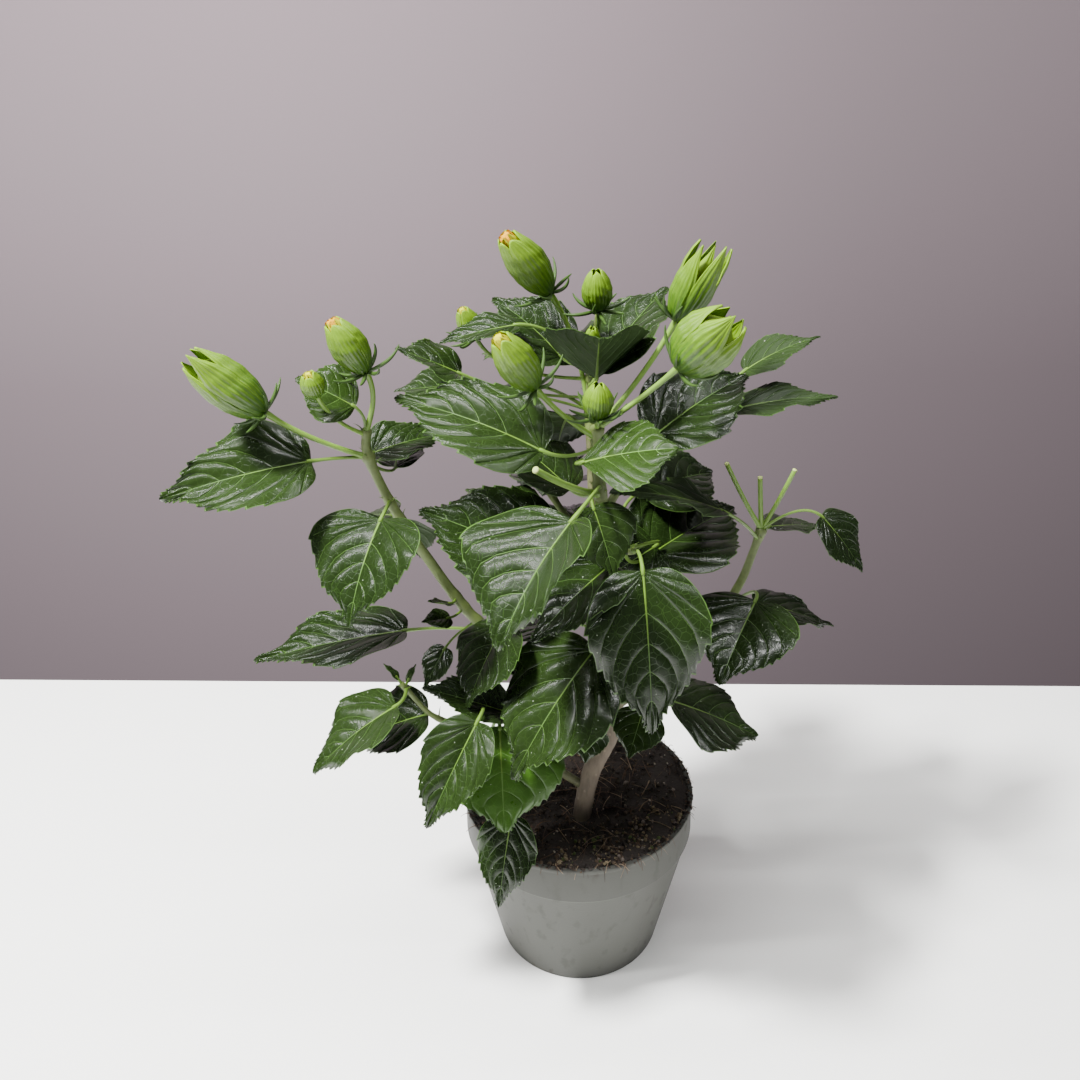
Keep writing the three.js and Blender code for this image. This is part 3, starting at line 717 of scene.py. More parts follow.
def add_blade(joined, foot, row, tone, numbers):
    """A blade with sunken veins, puffed between them, a toothed margin and a paler underside."""
    length = row["blade"][0]
    u, s, share, tooth = blade_grid(length)
    off, side = abs(u), np.sign(u)
    phases = [2 * np.pi * next(numbers) for _ in range(10)]
    between = np.minimum(share, 1 - share) / VEIN_SHARE
    puff = np.sin(np.pi * share) ** 0.5 * smoothstep(0, 0.3, off) * (1 - 0.8 * off**4)
    puff = puff * smoothstep(0, 0.1, s)
    uneven = 0.65 + 0.45 * np.sin(7 * u + 19 * s + phases[0]) * np.sin(13 * s - 5 * u + phases[1])
    swell = sum(
        size * np.sin(a * u + b * s + phase)
        for size, a, b, phase in zip((0.4, 0.3, 0.2, 0.16), (2, 4, 6, 3), (4, 7, 11, 15), phases[2:])
    )
    wave = np.sin(np.where(side > 0, 13, 11) * s + np.where(side > 0, phases[7], phases[8]))
    wave = wave * off**3 * np.sin(np.pi * s.clip(0, 1))
    size = length / 60
    lift = size * (PUFF * puff * uneven + SWELL * swell * off + WAVE * wave)
    toothed = smoothstep(TOOTHED_FROM, TOOTHED_FROM + 0.15, s) * smoothstep(1.0, 0.96, s)
    teeth = size * tooth * toothed * (0.85 + 0.4 * np.sin(31 * s + phases[9]) * side)
    out = np.where(off > 0.97, 0.8 * teeth, np.where(off > 0.9, 0.15 * teeth, 0))
    ahead = np.where(off > 0.97, 0.9 * teeth.clip(0), 0)
    thick = BLADE_THICK - BLADE_THINNER * off + 0 * s
    surface = blade_surface(foot, row)
    upper = surface(u, s, lift, out, ahead, fine=True)
    lower = surface(u, s, lift - thick, out, ahead, fine=True)
    rows, columns = s.shape
    count = rows * columns
    line = np.arange(rows) * columns
    first, last = line[0] + np.arange(columns), line[-1] + np.arange(columns)
    edges = rim_faces(((line, True), (line + columns - 1, False), (first, False), (last, True)), count)
    on_vein = vein_faces(between, off, s)
    vein = UNDER_VEIN if tone >= PALE else LIGHT_VEIN if tone >= TONES["f"] else DARK_VEIN
    shown = np.where(on_vein, vein, tone).reshape(rows - 1, columns - 1)
    shown[:, [0, -1]] = EDGE
    hidden = np.where(on_vein, UNDER_VEIN, UNDERSIDE)
    faces = [grid_faces(rows, columns), grid_faces(rows, columns, count, turned=True), *edges]
    finish = [shown.ravel(), hidden, np.full(sum(map(len, edges)), EDGE)]
    points = np.concatenate([upper.reshape(-1, 3), lower.reshape(-1, 3)]).clip(*PLANT_BOX)
    joined.add(points, np.concatenate(faces), np.concatenate(finish))
    return surface


def vein_faces(between, off, s):
    """Which faces of a blade's grid lie on its midrib or a side vein, which ends short of the margin."""
    beside = (between[:-1] <= 1.001) & (between[1:] <= 1.001)
    out = (off[:, :-1] + off[:, 1:]) / 2
    return ((beside & (out < 0.9) & (s[1:, 1:] < VEINED_TO)) | (out < ACROSS[1])).ravel()


def add_stalk(joined, start, foot, along, radius, finish):
    """A stalk that flares where it leaves the stem and swells a little before its end."""
    reach = np.linalg.norm(foot - start)
    path = bent(start, foot - along * STALK_BEND * reach, foot + along * STALK_SINK, 14)
    t = np.linspace(0, 1, 15)
    radii = radius * (0.92 + 0.5 * np.exp(-t * reach / 2.5) + 0.25 * np.exp(-(((t - 0.93) / 0.09) ** 2)))
    tube(joined, path, radii, 8, finish)


def add_leaf(leaves, twigs, start, row, tone, numbers):
    """A leaf on its stalk, its midrib raised below, with two fine stipules at the stalk's foot."""
    length = row["blade"][0]
    foot = stalk_end(start, row)
    surface = add_blade(leaves, foot, row, tone, numbers)
    along = unit(surface(0, 0.05) - surface(0, 0))
    thin = 0.55 + 0.45 * min(1, length / 50)
    add_stalk(twigs, start, foot, along, STALK_RADIUS * thin, STALK)
    s = np.linspace(0, 0.93, 16)
    tube(twigs, surface(0, s, -0.45), MIDRIB_RADIUS * thin * (1 - s) + 0.12, 6, STALK)
    if length > STIPULED_FROM:
        heading = row["stalk"][1]
        for turn in (-STIPULE_TURN, STIPULE_TURN):
            tip = start + direction(heading + turn, 35) * STIPULE
            path = bent(start + direction(heading + turn, 0) * 1.2, (start + tip) / 2 + (0, 0, 1.2), tip, 5)
            tube(twigs, path, np.linspace(0.55, 0.08, 6), 4, STALK)


def bud_outline(s, belly):
    return np.sin(np.pi * np.clip(s, 0, 1) ** belly).clip(0) ** BUD_FULLNESS


def add_bud(buds, twigs, start, row, tip_tone, numbers):
    """A bud: five ribbed sepals, the rolled petals inside, and a ring of curled bracts below."""
    length, width, turn, rise = row["body"]
    foot = stalk_end(start, row)
    axis = direction(turn, rise)
    turned = np.array(Vector((0, 1, 0)).rotation_difference(Vector(axis)).to_matrix())
    front = np.array((0, -1, 0.5)) @ turned
    gapes = row["open"] > BUD_GAPES
    spin = math.atan2(front[0], front[2]) + (np.pi / SEPALS if gapes else 0)

    def place(x, y, z):
        return foot + np.stack(np.broadcast_arrays(x, y, z), axis=-1) @ turned.T

    add_stalk(twigs, start, foot, axis, 1.35 if length > LARGE_BUD else 1.0, BUD_STALK)
    opened = row["open"]
    split = 0.8 - opened * 0.75 if opened else 0.8
    flamed = tip_tone != "g" and not opened
    closed_mouth = FLAMED_MOUTH if flamed else CLOSED_MOUTH
    mouth, belly = (MOUTH, OPEN_BELLY) if opened else (closed_mouth, BUD_BELLY)
    late, sharp = OPEN_TIP if opened else CLOSED_TIP
    short = FLAMED_SHORT if flamed else 0
    a = np.linspace(-1, 1, 25)[None]
    s = np.linspace(0, 1, 33)[:, None]
    for k in range(SEPALS):
        phases = [2 * np.pi * next(numbers) for _ in range(4)]
        part = ((s - split) / (1 - split)).clip(0)
        narrow = (1 - part**late).clip(0.015) ** sharp
        spread = 5.0 if gapes else 3.0 if k in (0, 3) else -0.3
        flare = opened * spread * part**2 + (0.2 if opened else 0.5) * part**3
        angle = spin + 2 * np.pi * k / SEPALS + a * np.pi / SEPALS * narrow * 1.12
        angle = angle + 0.1 * part * np.sin(phases[0])
        radius = width / 2 * bud_outline(s * mouth, belly) * (1 + 0.04 * (1 - a**2) - 0.07 * abs(a) ** 6)
        ribs = np.cos(a * 6 * np.pi + 0.5 * np.sin(5 * s + phases[1]))
        grooves = 0.3 * ribs + 0.2 * np.sin(a * 5 + 4 * s + phases[2])
        buckle = 0.5 * np.sin(9 * s + 2.5 * a + phases[3]) * (0.4 + part)
        buckle = buckle + 0.15 * np.sin(31 * s + 2 * a + phases[0])
        radius = (radius + flare + (grooves + buckle) * np.sin(np.pi * s) * width / 20).clip(0.25)
        y = s * length * (0.97 - 0.05 * opened * k - short) + 0.5 * np.sin(7 * s + phases[0]) * part
        outer = place(radius * np.sin(angle), y, radius * np.cos(angle))
        inside = (radius - 0.5).clip(0.1)
        inner = place(inside * np.sin(angle), y - 0.1, inside * np.cos(angle))
        rows, columns = len(s), a.shape[1]
        count = rows * columns
        left = np.arange(rows) * columns
        tip = (rows - 1) * columns + np.arange(columns)
        rims = rim_faces(((left, False), (left + columns - 1, True), (tip, False)), count)
        sides = grid_faces(rows, columns, turned=True), grid_faces(rows, columns, count)
        streak = 0.08 * ribs + 0.06 * np.sin(a * 29 + 2 * k + 3 * s)
        height = (0.75 * s**1.4 + streak * (1 - 0.4 * s) + 0.14 * a**6 + 0.08) * SEPAL_TONES
        tones = height[:-1, :-1].clip(0, SEPAL_TONES - 1).astype(int).ravel()
        rim = np.full(sum(map(len, rims)), SEPAL_TONES - 1)
        points = np.concatenate([outer.reshape(-1, 3), inner.reshape(-1, 3)])
        buds.add(points, np.concatenate([*sides, *rims]), np.concatenate([tones, tones, rim]))
    full = width / 2 * bud_outline(np.linspace(0.1, 1, 30)[:, None] * mouth, belly)
    full = full * (0.35 if gapes else 0.86)
    add_petals(buds, place, length, width, opened, full, tip_tone, numbers)
    if length > BRACTED_FROM:
        add_bracts(twigs, place, length, numbers)


def add_petals(buds, place, length, width, opened, full, tip_tone, numbers):
    """The rolled petals that fill a bud, with crumpled tips where they show colour."""
    turns = np.linspace(0, 2 * np.pi, PETAL_POINTS + 1)[None, :-1]
    s = np.linspace(0.1, 1, 30)[:, None]
    shown = tip_tone != "g"
    top = smoothstep(0.7, 1.0, s)
    full = full * (1 - top * (0.35 if shown else 0.8))
    twist = 3.5 * s + 2 * np.pi * next(numbers)
    folds = (0.05 + 0.13 * top) * np.cos(5 * turns + twist) + 0.07 * top * np.cos(11 * turns - 2 * twist)
    radius = (full * (1 + folds)).clip(0.12)
    reach = PETAL_REACH if shown or not opened else 0.9
    y = s * length * reach * (1 - 0.03 * top * np.sin(3 * turns + twist) ** 2)
    points = place(radius * np.sin(turns), y, radius * np.cos(turns))
    height = s[:-1] + 0.05 * np.sin(5 * turns + twist[:-1])
    tone = np.where(height > 0.74, PETAL_TONES["y"] if shown else PETAL_TONES["g"], PETAL_TONES["g"])
    if tip_tone == "o":
        tone = np.where(height > 0.92, PETAL_TONES["o"], tone)
    count = len(s) * PETAL_POINTS
    caps = [range(PETAL_POINTS), range(count - PETAL_POINTS, count)[::-1]]
    buds.add(points, grid_faces(len(s), PETAL_POINTS, turned=True, closed=True), tone.ravel(), caps)
    if not shown:
        return
    for k in range(PETAL_TIPS):
        around = 2 * np.pi * (k + 0.8 * next(numbers)) / PETAL_TIPS
        size = length * (0.18 + 0.12 * next(numbers))
        b = np.linspace(-1, 1, 7)[None]
        t = np.linspace(0, 1, 8)[:, None]
        wide = width * 0.13 * np.sin(np.pi * (0.2 + 0.68 * t)) * (1 + 0.25 * np.sin(5 * t + k))
        radius = width * (0.2 + 0.06 * next(numbers)) * (1 - 0.35 * t**2)
        radius = radius + 0.4 * b**2 + 0.35 * np.sin(4 * b + k)
        x = radius * math.sin(around) + b * wide * math.cos(around)
        z = radius * math.cos(around) - b * wide * math.sin(around)
        y = length * PETAL_REACH - size * (1 - t) + 0.3 * np.sin(6 * b + 3 * t + k) - 0.3 * b**2
        points = np.concatenate([place(x, y, z).reshape(-1, 3), place(x * 0.9, y, z * 0.9).reshape(-1, 3)])
        rows, columns = t.size, b.size
        outer, inner = grid_faces(rows, columns, turned=True), grid_faces(rows, columns, rows * columns)
        ended = PETAL_TONES["o"] if tip_tone == "o" and k % 3 else PETAL_TONES["y"]
        tone = np.where(t[:-1] + 0.15 * b[:, :-1] ** 2 > 0.6, ended, PETAL_TONES["y"]).ravel()
        buds.add(points, np.concatenate([outer, inner]), np.concatenate([tone, tone]))


def add_bracts(twigs, place, length, numbers):
    """The slim bracts round a bud's foot, spread wide with their ends curled up."""
    count = 8 if length > 20 else 10
    for k in range(count):
        around = 2 * np.pi * (k + 0.5 * next(numbers)) / count
        size = (13 + 6 * next(numbers)) * min(1, length / 33 + 0.3)
        t = np.linspace(0, 1, 13)
        turn = np.radians(96 - 26 * next(numbers)) - np.radians(10 + 70 * next(numbers)) * t**1.8
        sway = 0.5 * (next(numbers) - 0.5) * t**2
        out = 1.0 + np.concatenate([[0], np.cumsum(np.sin(turn[:-1]) * size / 12)])
        up = 0.8 + np.concatenate([[0], np.cumsum(np.cos(turn[:-1]) * size / 12)])
        path = place(out * np.sin(around + sway), up, out * np.cos(around + sway))
        wide = (0.95 * np.sin(np.pi * (0.22 + 0.72 * t)) ** 0.8) * min(1, length / 34 + 0.35)
        tube(twigs, path, wide.clip(0.07), 6, BRACT)


def add_stem(twigs, mass, grown):
    """A mass's stem, with a swelling wherever a stalk leaves it, and its cut stalks."""
    curve = Curve(mass["stem"])
    steps = max(12, int(curve.length() / 1.6))
    t = np.linspace(0, 1, steps + 1)
    radii = (mass["radii"][0] + (mass["radii"][1] - mass["radii"][0]) * t) * 1.05
    length = curve.length()
    for row in [*mass["leaves"], *grown, *mass["buds"], *mass.get("stubs", [])]:
        radii = radii * (1 + 0.16 * np.exp(-(((t - row["at"]) * length / 2.4) ** 2)))
    numbers = seeded(len(mass["stem"]) * 31 + int(length))
    phases = [2 * np.pi * next(numbers) for _ in range(3)]

    def wobble(i, turns):
        slow = 0.035 * np.sin(3 * turns + 0.21 * i + phases[0])
        return slow + 0.03 * np.sin(5 * turns - 0.5 * i + phases[1])

    tube(twigs, curve.path(steps), radii.clip(0, mass["radii"][0] * 1.25), 14, STEM, wobble=wobble)
    for row in mass.get("stubs", []):
        start = curve.point(row["at"])
        foot = stalk_end(start, row)
        bend = (start + foot) / 2 - (0, 0, STUB_SAG * row["stalk"][0])
        path = bent(start, bend, foot, 12)
        radii = row["radius"] * (0.95 + 0.35 * np.exp(-np.linspace(0, 1, 13) * 8))
        tube(twigs, path, radii, 10, BUD_STALK)
        cut = np.array([path[-1], path[-1] + unit(path[-1] - path[-2]) * 0.5])
        tube(twigs, cut, row["radius"] * 1.02, 10, CUT_END)


# Finishes


class Value:
    """A node's output on which Python's arithmetic adds Math nodes."""

    def __init__(self, finish, socket):
        self.finish, self.socket = finish, socket

    def maths(self, operation, first, second):
        return self.finish.node("ShaderNodeMath", {"operation": operation}, {0: first, 1: second})

    def __add__(self, other):
        return self.maths("ADD", self, other)

    def __sub__(self, other):
        return self.maths("SUBTRACT", self, other)

    def __rsub__(self, other):
        return self.maths("SUBTRACT", other, self)

    def __mul__(self, other):
        return self.maths("MULTIPLY", self, other)

    __radd__ = __add__
    __rmul__ = __mul__


class Finish:
    """A material, made up node by node round one Principled shader."""

    def __init__(self, name, color, roughness):
        self.material = bpy.data.materials.new(name)
        self.material.use_nodes = True
        self.nodes, self.links = self.material.node_tree.nodes, self.material.node_tree.links
        self.shader = self.nodes["Principled BSDF"]
        self.set("Base Color", (*color[:3], 1))
        self.set("Roughness", roughness)

    def node(self, kind, settings, inputs, output=0):
        made = self.nodes.new(kind)
        for name, setting in settings.items():
            setattr(made, name, setting)
        for socket, value in inputs.items():
            self.join(made.inputs[socket], value)
        return Value(self, made.outputs[output])

    def join(self, socket, value):
        if isinstance(value, Value):
            self.links.new(value.socket, socket)
        else:
            socket.default_value = value

    def set(self, socket, value):
        self.join(self.shader.inputs[socket], value)

    def place(self, stretch=(1, 1, 1)):
        """Object coordinates, in metres, squeezed by a factor along each axis."""
        where = self.node("ShaderNodeTexCoord", {}, {}, "Object")
        return self.node("ShaderNodeMapping", {}, {"Vector": where, "Scale": stretch})

    def noise(self, size, detail=2.0, stretch=(1, 1, 1)):
        """Soft noise from 0 to 1, its lumps about as wide as size in metres."""
        inputs = {"Vector": self.place(stretch), "Scale": 1 / size, "Detail": detail}
        return self.node("ShaderNodeTexNoise", {}, inputs)

    def cells(self, size, feature, stretch=(1, 1, 1)):
        inputs = {"Vector": self.place(stretch), "Scale": 1 / size}
        return self.node("ShaderNodeTexVoronoi", {"feature": feature}, inputs, "Distance")

    def step(self, value, low, high):
        """1 where value is past high and 0 where it is short of low, or the other way round."""
        settings = {"interpolation_type": "SMOOTHSTEP"}
        return self.node("ShaderNodeMapRange", settings, {0: value, 1: low, 2: high})

    def mix(self, share, first, second):
        first, second = (c if isinstance(c, Value) else (*c[:3], 1) for c in (first, second))
        inputs = {0: share, 6: first, 7: second}
        return self.node("ShaderNodeMix", {"data_type": "RGBA"}, inputs, 2)

    def bump(self, height, distance, strength=1.0):
        inputs = {"Height": height, "Distance": distance, "Strength": strength}
        self.set("Normal", self.node("ShaderNodeBump", {}, inputs, "Normal"))


def shade(color, factor):
    return tuple(min(1, c * factor) for c in color[:3])


def leaf_finish(name, color, roughness, net, shine=0.4):
    """A leaf's face: a little uneven in tone, with a fine net of veins and a few pale specks."""
    finish = Finish(name, color, roughness)
    patches = finish.noise(0.011, 3)
    tone = finish.mix(patches, shade(color, 0.72), shade(color, 1.35))
    fine = finish.step(finish.cells(0.0034, "DISTANCE_TO_EDGE"), 0.045, 0.0)
    tone = finish.mix(fine * net, tone, shade(color, 3.0))
    speck = finish.step(finish.cells(0.005, "F1"), 0.07, 0.045)
    tone = finish.mix(speck * 0.35, tone, (0.55, 0.6, 0.5))
    finish.set("Base Color", tone)
    finish.set("Roughness", patches * 0.1 + (roughness - 0.06))
    finish.set("Specular IOR Level", shine)
    puckers = finish.noise(0.009, 1) * 1.6 - fine * 0.12
    finish.bump(puckers, 0.0006, 0.5)
    return finish.material


def plain_finish(name, color, roughness, size=0.004, uneven=0.25, relief=0.0001):
    """A finish of one colour, a little uneven in tone and relief."""
    finish = Finish(name, color, roughness)
    patches = finish.noise(size, 3)
    finish.set("Base Color", finish.mix(patches, shade(color, 1 - uneven), shade(color, 1 + uneven)))
    finish.bump(patches, relief)
    return finish.material


def leaf_finishes(plant):
    return [
        leaf_finish("leaf_deep_green", plant.deep_green, plant.leaf_gloss, 0.45),
        leaf_finish("leaf_middle_green", plant.middle_green, plant.leaf_gloss, 0.35),
        leaf_finish("leaf_fresh_green", plant.fresh_green, plant.leaf_gloss + 0.03, 0.25),
        # Partly painted light: this green also stands for the light on a lit leaf
        leaf_finish("leaf_young_lit_green", plant.young_lit_green, plant.leaf_gloss + 0.06, 0.2),
        leaf_finish("leaf_pale_green", shade(plant.underside_green, 0.68), 0.55, 0.15, 0.25),
        leaf_finish("leaf_underside", plant.underside_green, 0.62, 0.25, 0.2),
        plain_finish("leaf_vein", plant.vein_green, 0.45),
        plain_finish("leaf_young_vein", shade(plant.vein_green, 1.6), 0.45),
        plain_finish("leaf_underside_vein", shade(plant.vein_green, 1.25), 0.55),
        plain_finish("leaf_margin", plant.margin_green, 0.5),
    ]


def twig_finishes(plant):
    return [
        plain_finish("stem_green_brown", plant.stem_green, 0.6, 0.003, 0.35, 0.00025),
        plain_finish("leaf_stalk_green", plant.stalk_green, 0.45),
        plain_finish("bud_stalk_green", shade(plant.stalk_green, 1.35), 0.45),
        plain_finish("bract_green", shade(plant.fresh_green, 2.4), 0.5),
        plain_finish("cut_end_pale", (0.34, 0.4, 0.13), 0.7),
    ]


def bud_finishes(plant):
    base, tip = np.array(plant.sepal_base), np.array(plant.sepal_tip)
    tones = [base + (tip - base) * (k / (SEPAL_TONES - 1)) ** 0.9 for k in range(SEPAL_TONES)]
    sepals = [
        plain_finish(f"sepal_green_{k + 1}", tuple(tone), 0.42, 0.002, 0.12) for k, tone in enumerate(tones)
    ]
    return [
        *sepals,
        plain_finish("petal_green", tuple(tip * 0.8), 0.5, 0.002, 0.15),
        plain_finish("petal_yellow", plant.petal_yellow, 0.7, 0.002, 0.2),
        plain_finish("petal_orange", plant.petal_orange, 0.7, 0.002, 0.3),
    ]


def bark_finish(name, color, gloss, stretch, young=None):
    """Bark: long fine cracks and streaks, with pale pores. High up it turns to the young color."""
    finish = Finish(name, color, gloss)
    streaks = finish.noise(0.0022, 5, stretch)
    patches = finish.noise(0.012, 4)
    pores = finish.step(finish.cells(0.0042, "F1", (1, 1, 0.7)), 0.22, 0.1)
    tone = finish.mix(patches, shade(color, 0.62), shade(color, 1.35))
    tone = finish.mix(finish.step(streaks, 0.42, 0.68) * 0.5, tone, shade(color, 0.45))
    tone = finish.mix(pores * 0.4, tone, shade(color, 1.9))
    if young is not None:
        height = finish.node("ShaderNodeSeparateXYZ", {}, {0: finish.place()}, "Z")
        smooth_bark = finish.mix(patches, shade(young, 0.7), shade(young, 1.3))
        tone = finish.mix(finish.step(height, *GREEN_FROM), tone, smooth_bark)
    finish.set("Base Color", tone)
    finish.bump(streaks * 0.6 + pores * 0.4, 0.0006, 0.7)
    return finish.material


def pot_finish(pot, soil):
    """Matte moulded plastic, with faint mould marks and soil smeared at the rim and foot."""
    finish = Finish("pot_grey_plastic", pot.color, 0.48)
    height = finish.node("ShaderNodeSeparateXYZ", {}, {0: finish.place()}, "Z")
    smear = finish.step(finish.noise(0.006, 5, (1, 1, 0.5)), 0.55, 0.75)
    low = finish.step(height, 0.016, 0.0)
    high = finish.step(height, pot.height - 0.012, pot.height)
    dirty = smear * (low * 0.9 + high * 0.55 + 0.03)
    cloud = finish.noise(0.05, 3)
    tone = finish.mix(cloud, shade(pot.color, 0.93), shade(pot.color, 1.05))
    finish.set("Base Color", finish.mix(dirty, tone, shade(soil.color, 1.8)))
    finish.set("Roughness", smear * 0.2 + 0.58)
    finish.set("Specular IOR Level", 0.15)
    finish.bump(finish.noise(0.0012, 3), 0.00008)
    return finish.material


# Pieces


def deselect():
    if bpy.context.object and bpy.context.object.mode != "OBJECT":
        bpy.ops.object.mode_set(mode="OBJECT")
    bpy.ops.object.select_all(action="DESELECT")


def settle(piece, finishes, nodes):
    """Finishes a piece: its place goes into its mesh, and it stands for the CAD nodes."""
    deselect()
    piece.select_set(True)
    bpy.context.view_layer.objects.active = piece
    bpy.ops.object.transform_apply(location=True, rotation=True, scale=True)
    if finishes is not None:
        piece.data.materials.clear()
        for finish in finishes:
            piece.data.materials.append(finish)
    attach(piece, "root")
    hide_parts(*nodes)
    deselect()
    return piece


def turned(name, profile, sides):
    """A round piece modelled as by hand: a circle on the axis, extruded and resized along a profile
    of [radius, height] in millimetres. A profile that ends on the axis is closed there."""
    deselect()
    radius, height = profile[0]
    bpy.ops.mesh.primitive_circle_add(vertices=sides, radius=radius * MM, location=(0, 0, height * MM))
    piece = bpy.context.object
    piece.name = piece.data.name = name
    bpy.ops.object.mode_set(mode="EDIT")
    bpy.ops.mesh.select_all(action="SELECT")
    for next_radius, next_height in profile[1:]:
        rise = (0, 0, (next_height - height) * MM)
        bpy.ops.mesh.extrude_region_move(TRANSFORM_OT_translate={"value": rise})
        share = next_radius / radius
        bpy.ops.transform.resize(value=(share, share, 1), center_override=(0, 0, next_height * MM))
        radius, height = next_radius, next_height
    bpy.ops.object.mode_set(mode="OBJECT")
    return piece


def close_ends(piece):
    """Fills every open ring of a mesh and turns its faces outwards."""
    bpy.context.view_layer.objects.active = piece
    bpy.ops.object.mode_set(mode="EDIT")
    bpy.ops.mesh.select_all(action="DESELECT")
    bpy.ops.mesh.select_mode(type="EDGE")
    bpy.ops.mesh.select_non_manifold()
    bpy.ops.mesh.fill_holes(sides=0)
    bpy.ops.mesh.select_mode(type="VERT")
    bpy.ops.mesh.select_all(action="SELECT")
    bpy.ops.mesh.normals_make_consistent(inside=False)
    bpy.ops.object.mode_set(mode="OBJECT")


def reshape(piece, place):
    """Moves every vertex, in millimetres, to the place that a function gives for all of them."""
    mesh = piece.data
    flat = np.empty(len(mesh.vertices) * 3)
    mesh.vertices.foreach_get("co", flat)
    mesh.vertices.foreach_set("co", (place(flat.reshape(-1, 3) / MM) * MM).ravel())
    mesh.update()


def displace(piece, size, strength):
    """Raises a mesh unevenly, in lumps of a size, by up to half of strength, in millimetres."""
    texture = bpy.data.textures.new(f"{piece.name}_relief", type="CLOUDS")
    texture.noise_scale = size * MM
    relief = piece.modifiers.new("relief", "DISPLACE")
    relief.texture, relief.strength, relief.texture_coords = texture, strength * MM, "LOCAL"
    bpy.context.view_layer.objects.active = piece
    bpy.ops.object.modifier_apply(modifier=relief.name)


def limb_piece(name, axis, radius_at, sides, relief):
    """A limb with its bark's relief: a round column turned ring by ring, raised in long ridges,
    and then bent along its axis. The column is short, so that the ridges grow long on the limb."""
    curve = Curve(axis)
    steps = int(curve.length() / BARK_STEP)
    tall = curve.length() / RIDGE_STRETCH
    t = np.linspace(0, 1, steps + 1)
    radii = [radius_at(share) for share in t]
    ends = ([radii[0] * 0.5, 0], [radii[-1] * 0.8, tall + 0.25], [radii[-1] * 0.4, tall + 0.4])
    piece = turned(name, [ends[0], *zip(radii, t * tall), *ends[1:]], sides)
    close_ends(piece)
    displace(piece, 1.3, relief)
    displace(piece, 4.0, relief * 1.2)
    path = curve.path(steps)
    tangents = headings(path)
    across, rights = np.array([0.0, 1.0, 0.0]), []
    for along in tangents:
        across = unit(across - along * (across @ along))
        rights.append(across)
    rights = np.array(rights)
    frames = [path, rights, np.cross(tangents, rights), tangents]

    def bend(points):
        share = points[:, 2] / tall
        at = [np.stack([np.interp(share, t, part[:, i]) for i in range(3)], axis=1) for part in frames]
        past = (share - share.clip(0, 1)) * tall
        return at[0] + at[1] * points[:, :1] + at[2] * points[:, 1:2] + at[3] * past[:, None]

    reshape(piece, bend)
    close_ends(piece)
    smooth(piece, 60)
    return piece


def smooth(piece, angle):
    deselect()
    piece.select_set(True)
    bpy.context.view_layer.objects.active = piece
    bpy.ops.object.shade_smooth_by_angle(angle=math.radians(angle))


def pot_profile(pot):
    """The pot's wall, from the middle of its underside, over the rim and back to its floor inside."""
    rim, foot, height = pot.rim_radius / MM, pot.foot_radius / MM, pot.height / MM
    collar = height - COLLAR_HEIGHT
    slope = (rim - COLLAR_STEP - foot) / collar

    def inside(z):
        return foot - POT_WALL + (rim - LIP_STEP - foot) * z / height

    return [
        [foot * 0.2, 0.6], [foot - 7, 0.6], [foot - 6, 0], [foot - 1.2, 0], [foot - 0.3, 0.4], [foot, 1.5],
        [foot + slope * (collar - 1.2), collar - 1.2], [foot + slope * (collar - 0.5) + 0.15, collar - 0.5],
        [rim - 0.45, collar + 0.4], [rim - 0.2, collar + 1.2],
        [rim - LIP_STEP, height - LIP_HEIGHT - 0.5], [rim - 0.15, height - LIP_HEIGHT],
        [rim, height - LIP_HEIGHT + 0.5], [rim, height - 0.8], [rim - 0.25, height - 0.25],
        [rim - 0.8, height],
        [inside(height) + 0.2, height], [inside(height), height - 0.3], [inside(POT_FLOOR), POT_FLOOR],
        [foot * 0.2, POT_FLOOR],
    ]


def soil_height(points):
    """The soil's height: firm round the trunk, loose and lumpy further out."""
    x, y = points[:, 0], points[:, 1]
    from_trunk = np.hypot(x - TRUNK["axis"][0][0], y - TRUNK["axis"][0][1])
    loose = smoothstep(FIRM_TO, LOOSE_FROM, from_trunk)
    lumps = 0.8 * np.sin(0.21 * x + 0.13 * y) + 0.8 * np.sin(-0.26 * x + 0.17 * y + 2.57)
    crown = SOIL_CROWN * (1 - np.hypot(x, y) ** 2 / SOIL_EDGE**2)
    return (SOIL_LEVEL - 0.3) * (1 - loose) + (SOIL_EDGE_LEVEL + crown + lumps) * loose


def seat(far, turn):
    """The point on the soil that lies so far from the pot's axis, at a turn about it."""
    x, y = far * math.cos(turn), far * math.sin(turn)
    return np.array([x, y, soil_height(np.array([[x, y]]))[0]])


# The corners and faces of a crumb before it is made uneven
CRUMB = [
    [0, 0, 1], [0.894, 0, 0.447], [0.276, 0.851, 0.447], [-0.724, 0.526, 0.447], [-0.724, -0.526, 0.447],
    [0.276, -0.851, 0.447], [0.724, 0.526, -0.447], [-0.276, 0.851, -0.447], [-0.894, 0, -0.447],
    [-0.276, -0.851, -0.447], [0.724, -0.526, -0.447], [0, 0, -1],
]
CRUMB_FACES = [
    *([0, 1 + k, 1 + (k + 1) % 5] for k in range(5)),
    *([1 + k, 6 + k, 1 + (k + 1) % 5] for k in range(5)),
    *([1 + (k + 1) % 5, 6 + k, 6 + (k + 1) % 5] for k in range(5)),
    *([11, 6 + (k + 1) % 5, 6 + k] for k in range(5)),
]


def add_crumb(joined, centre, size, finish, random):
    turn = random.uniform(0, 6.28)
    spin = np.array(Matrix.Rotation(turn, 3, Vector(random.normal(size=3)).normalized()))
    shape = np.array(CRUMB) * random.uniform(0.65, 1.2, (12, 1)) * random.uniform(0.5, 1, 3)
    joined.add(centre + shape @ spin.T * size, CRUMB_FACES, finish)


# How many crumbs, grains and roots lie all over the soil, and how many at its edge
CRUMBS = 2600
GRAINS = 70
ROOTS = 260
EDGE_CRUMBS = 900
EDGE_ROOTS = 110
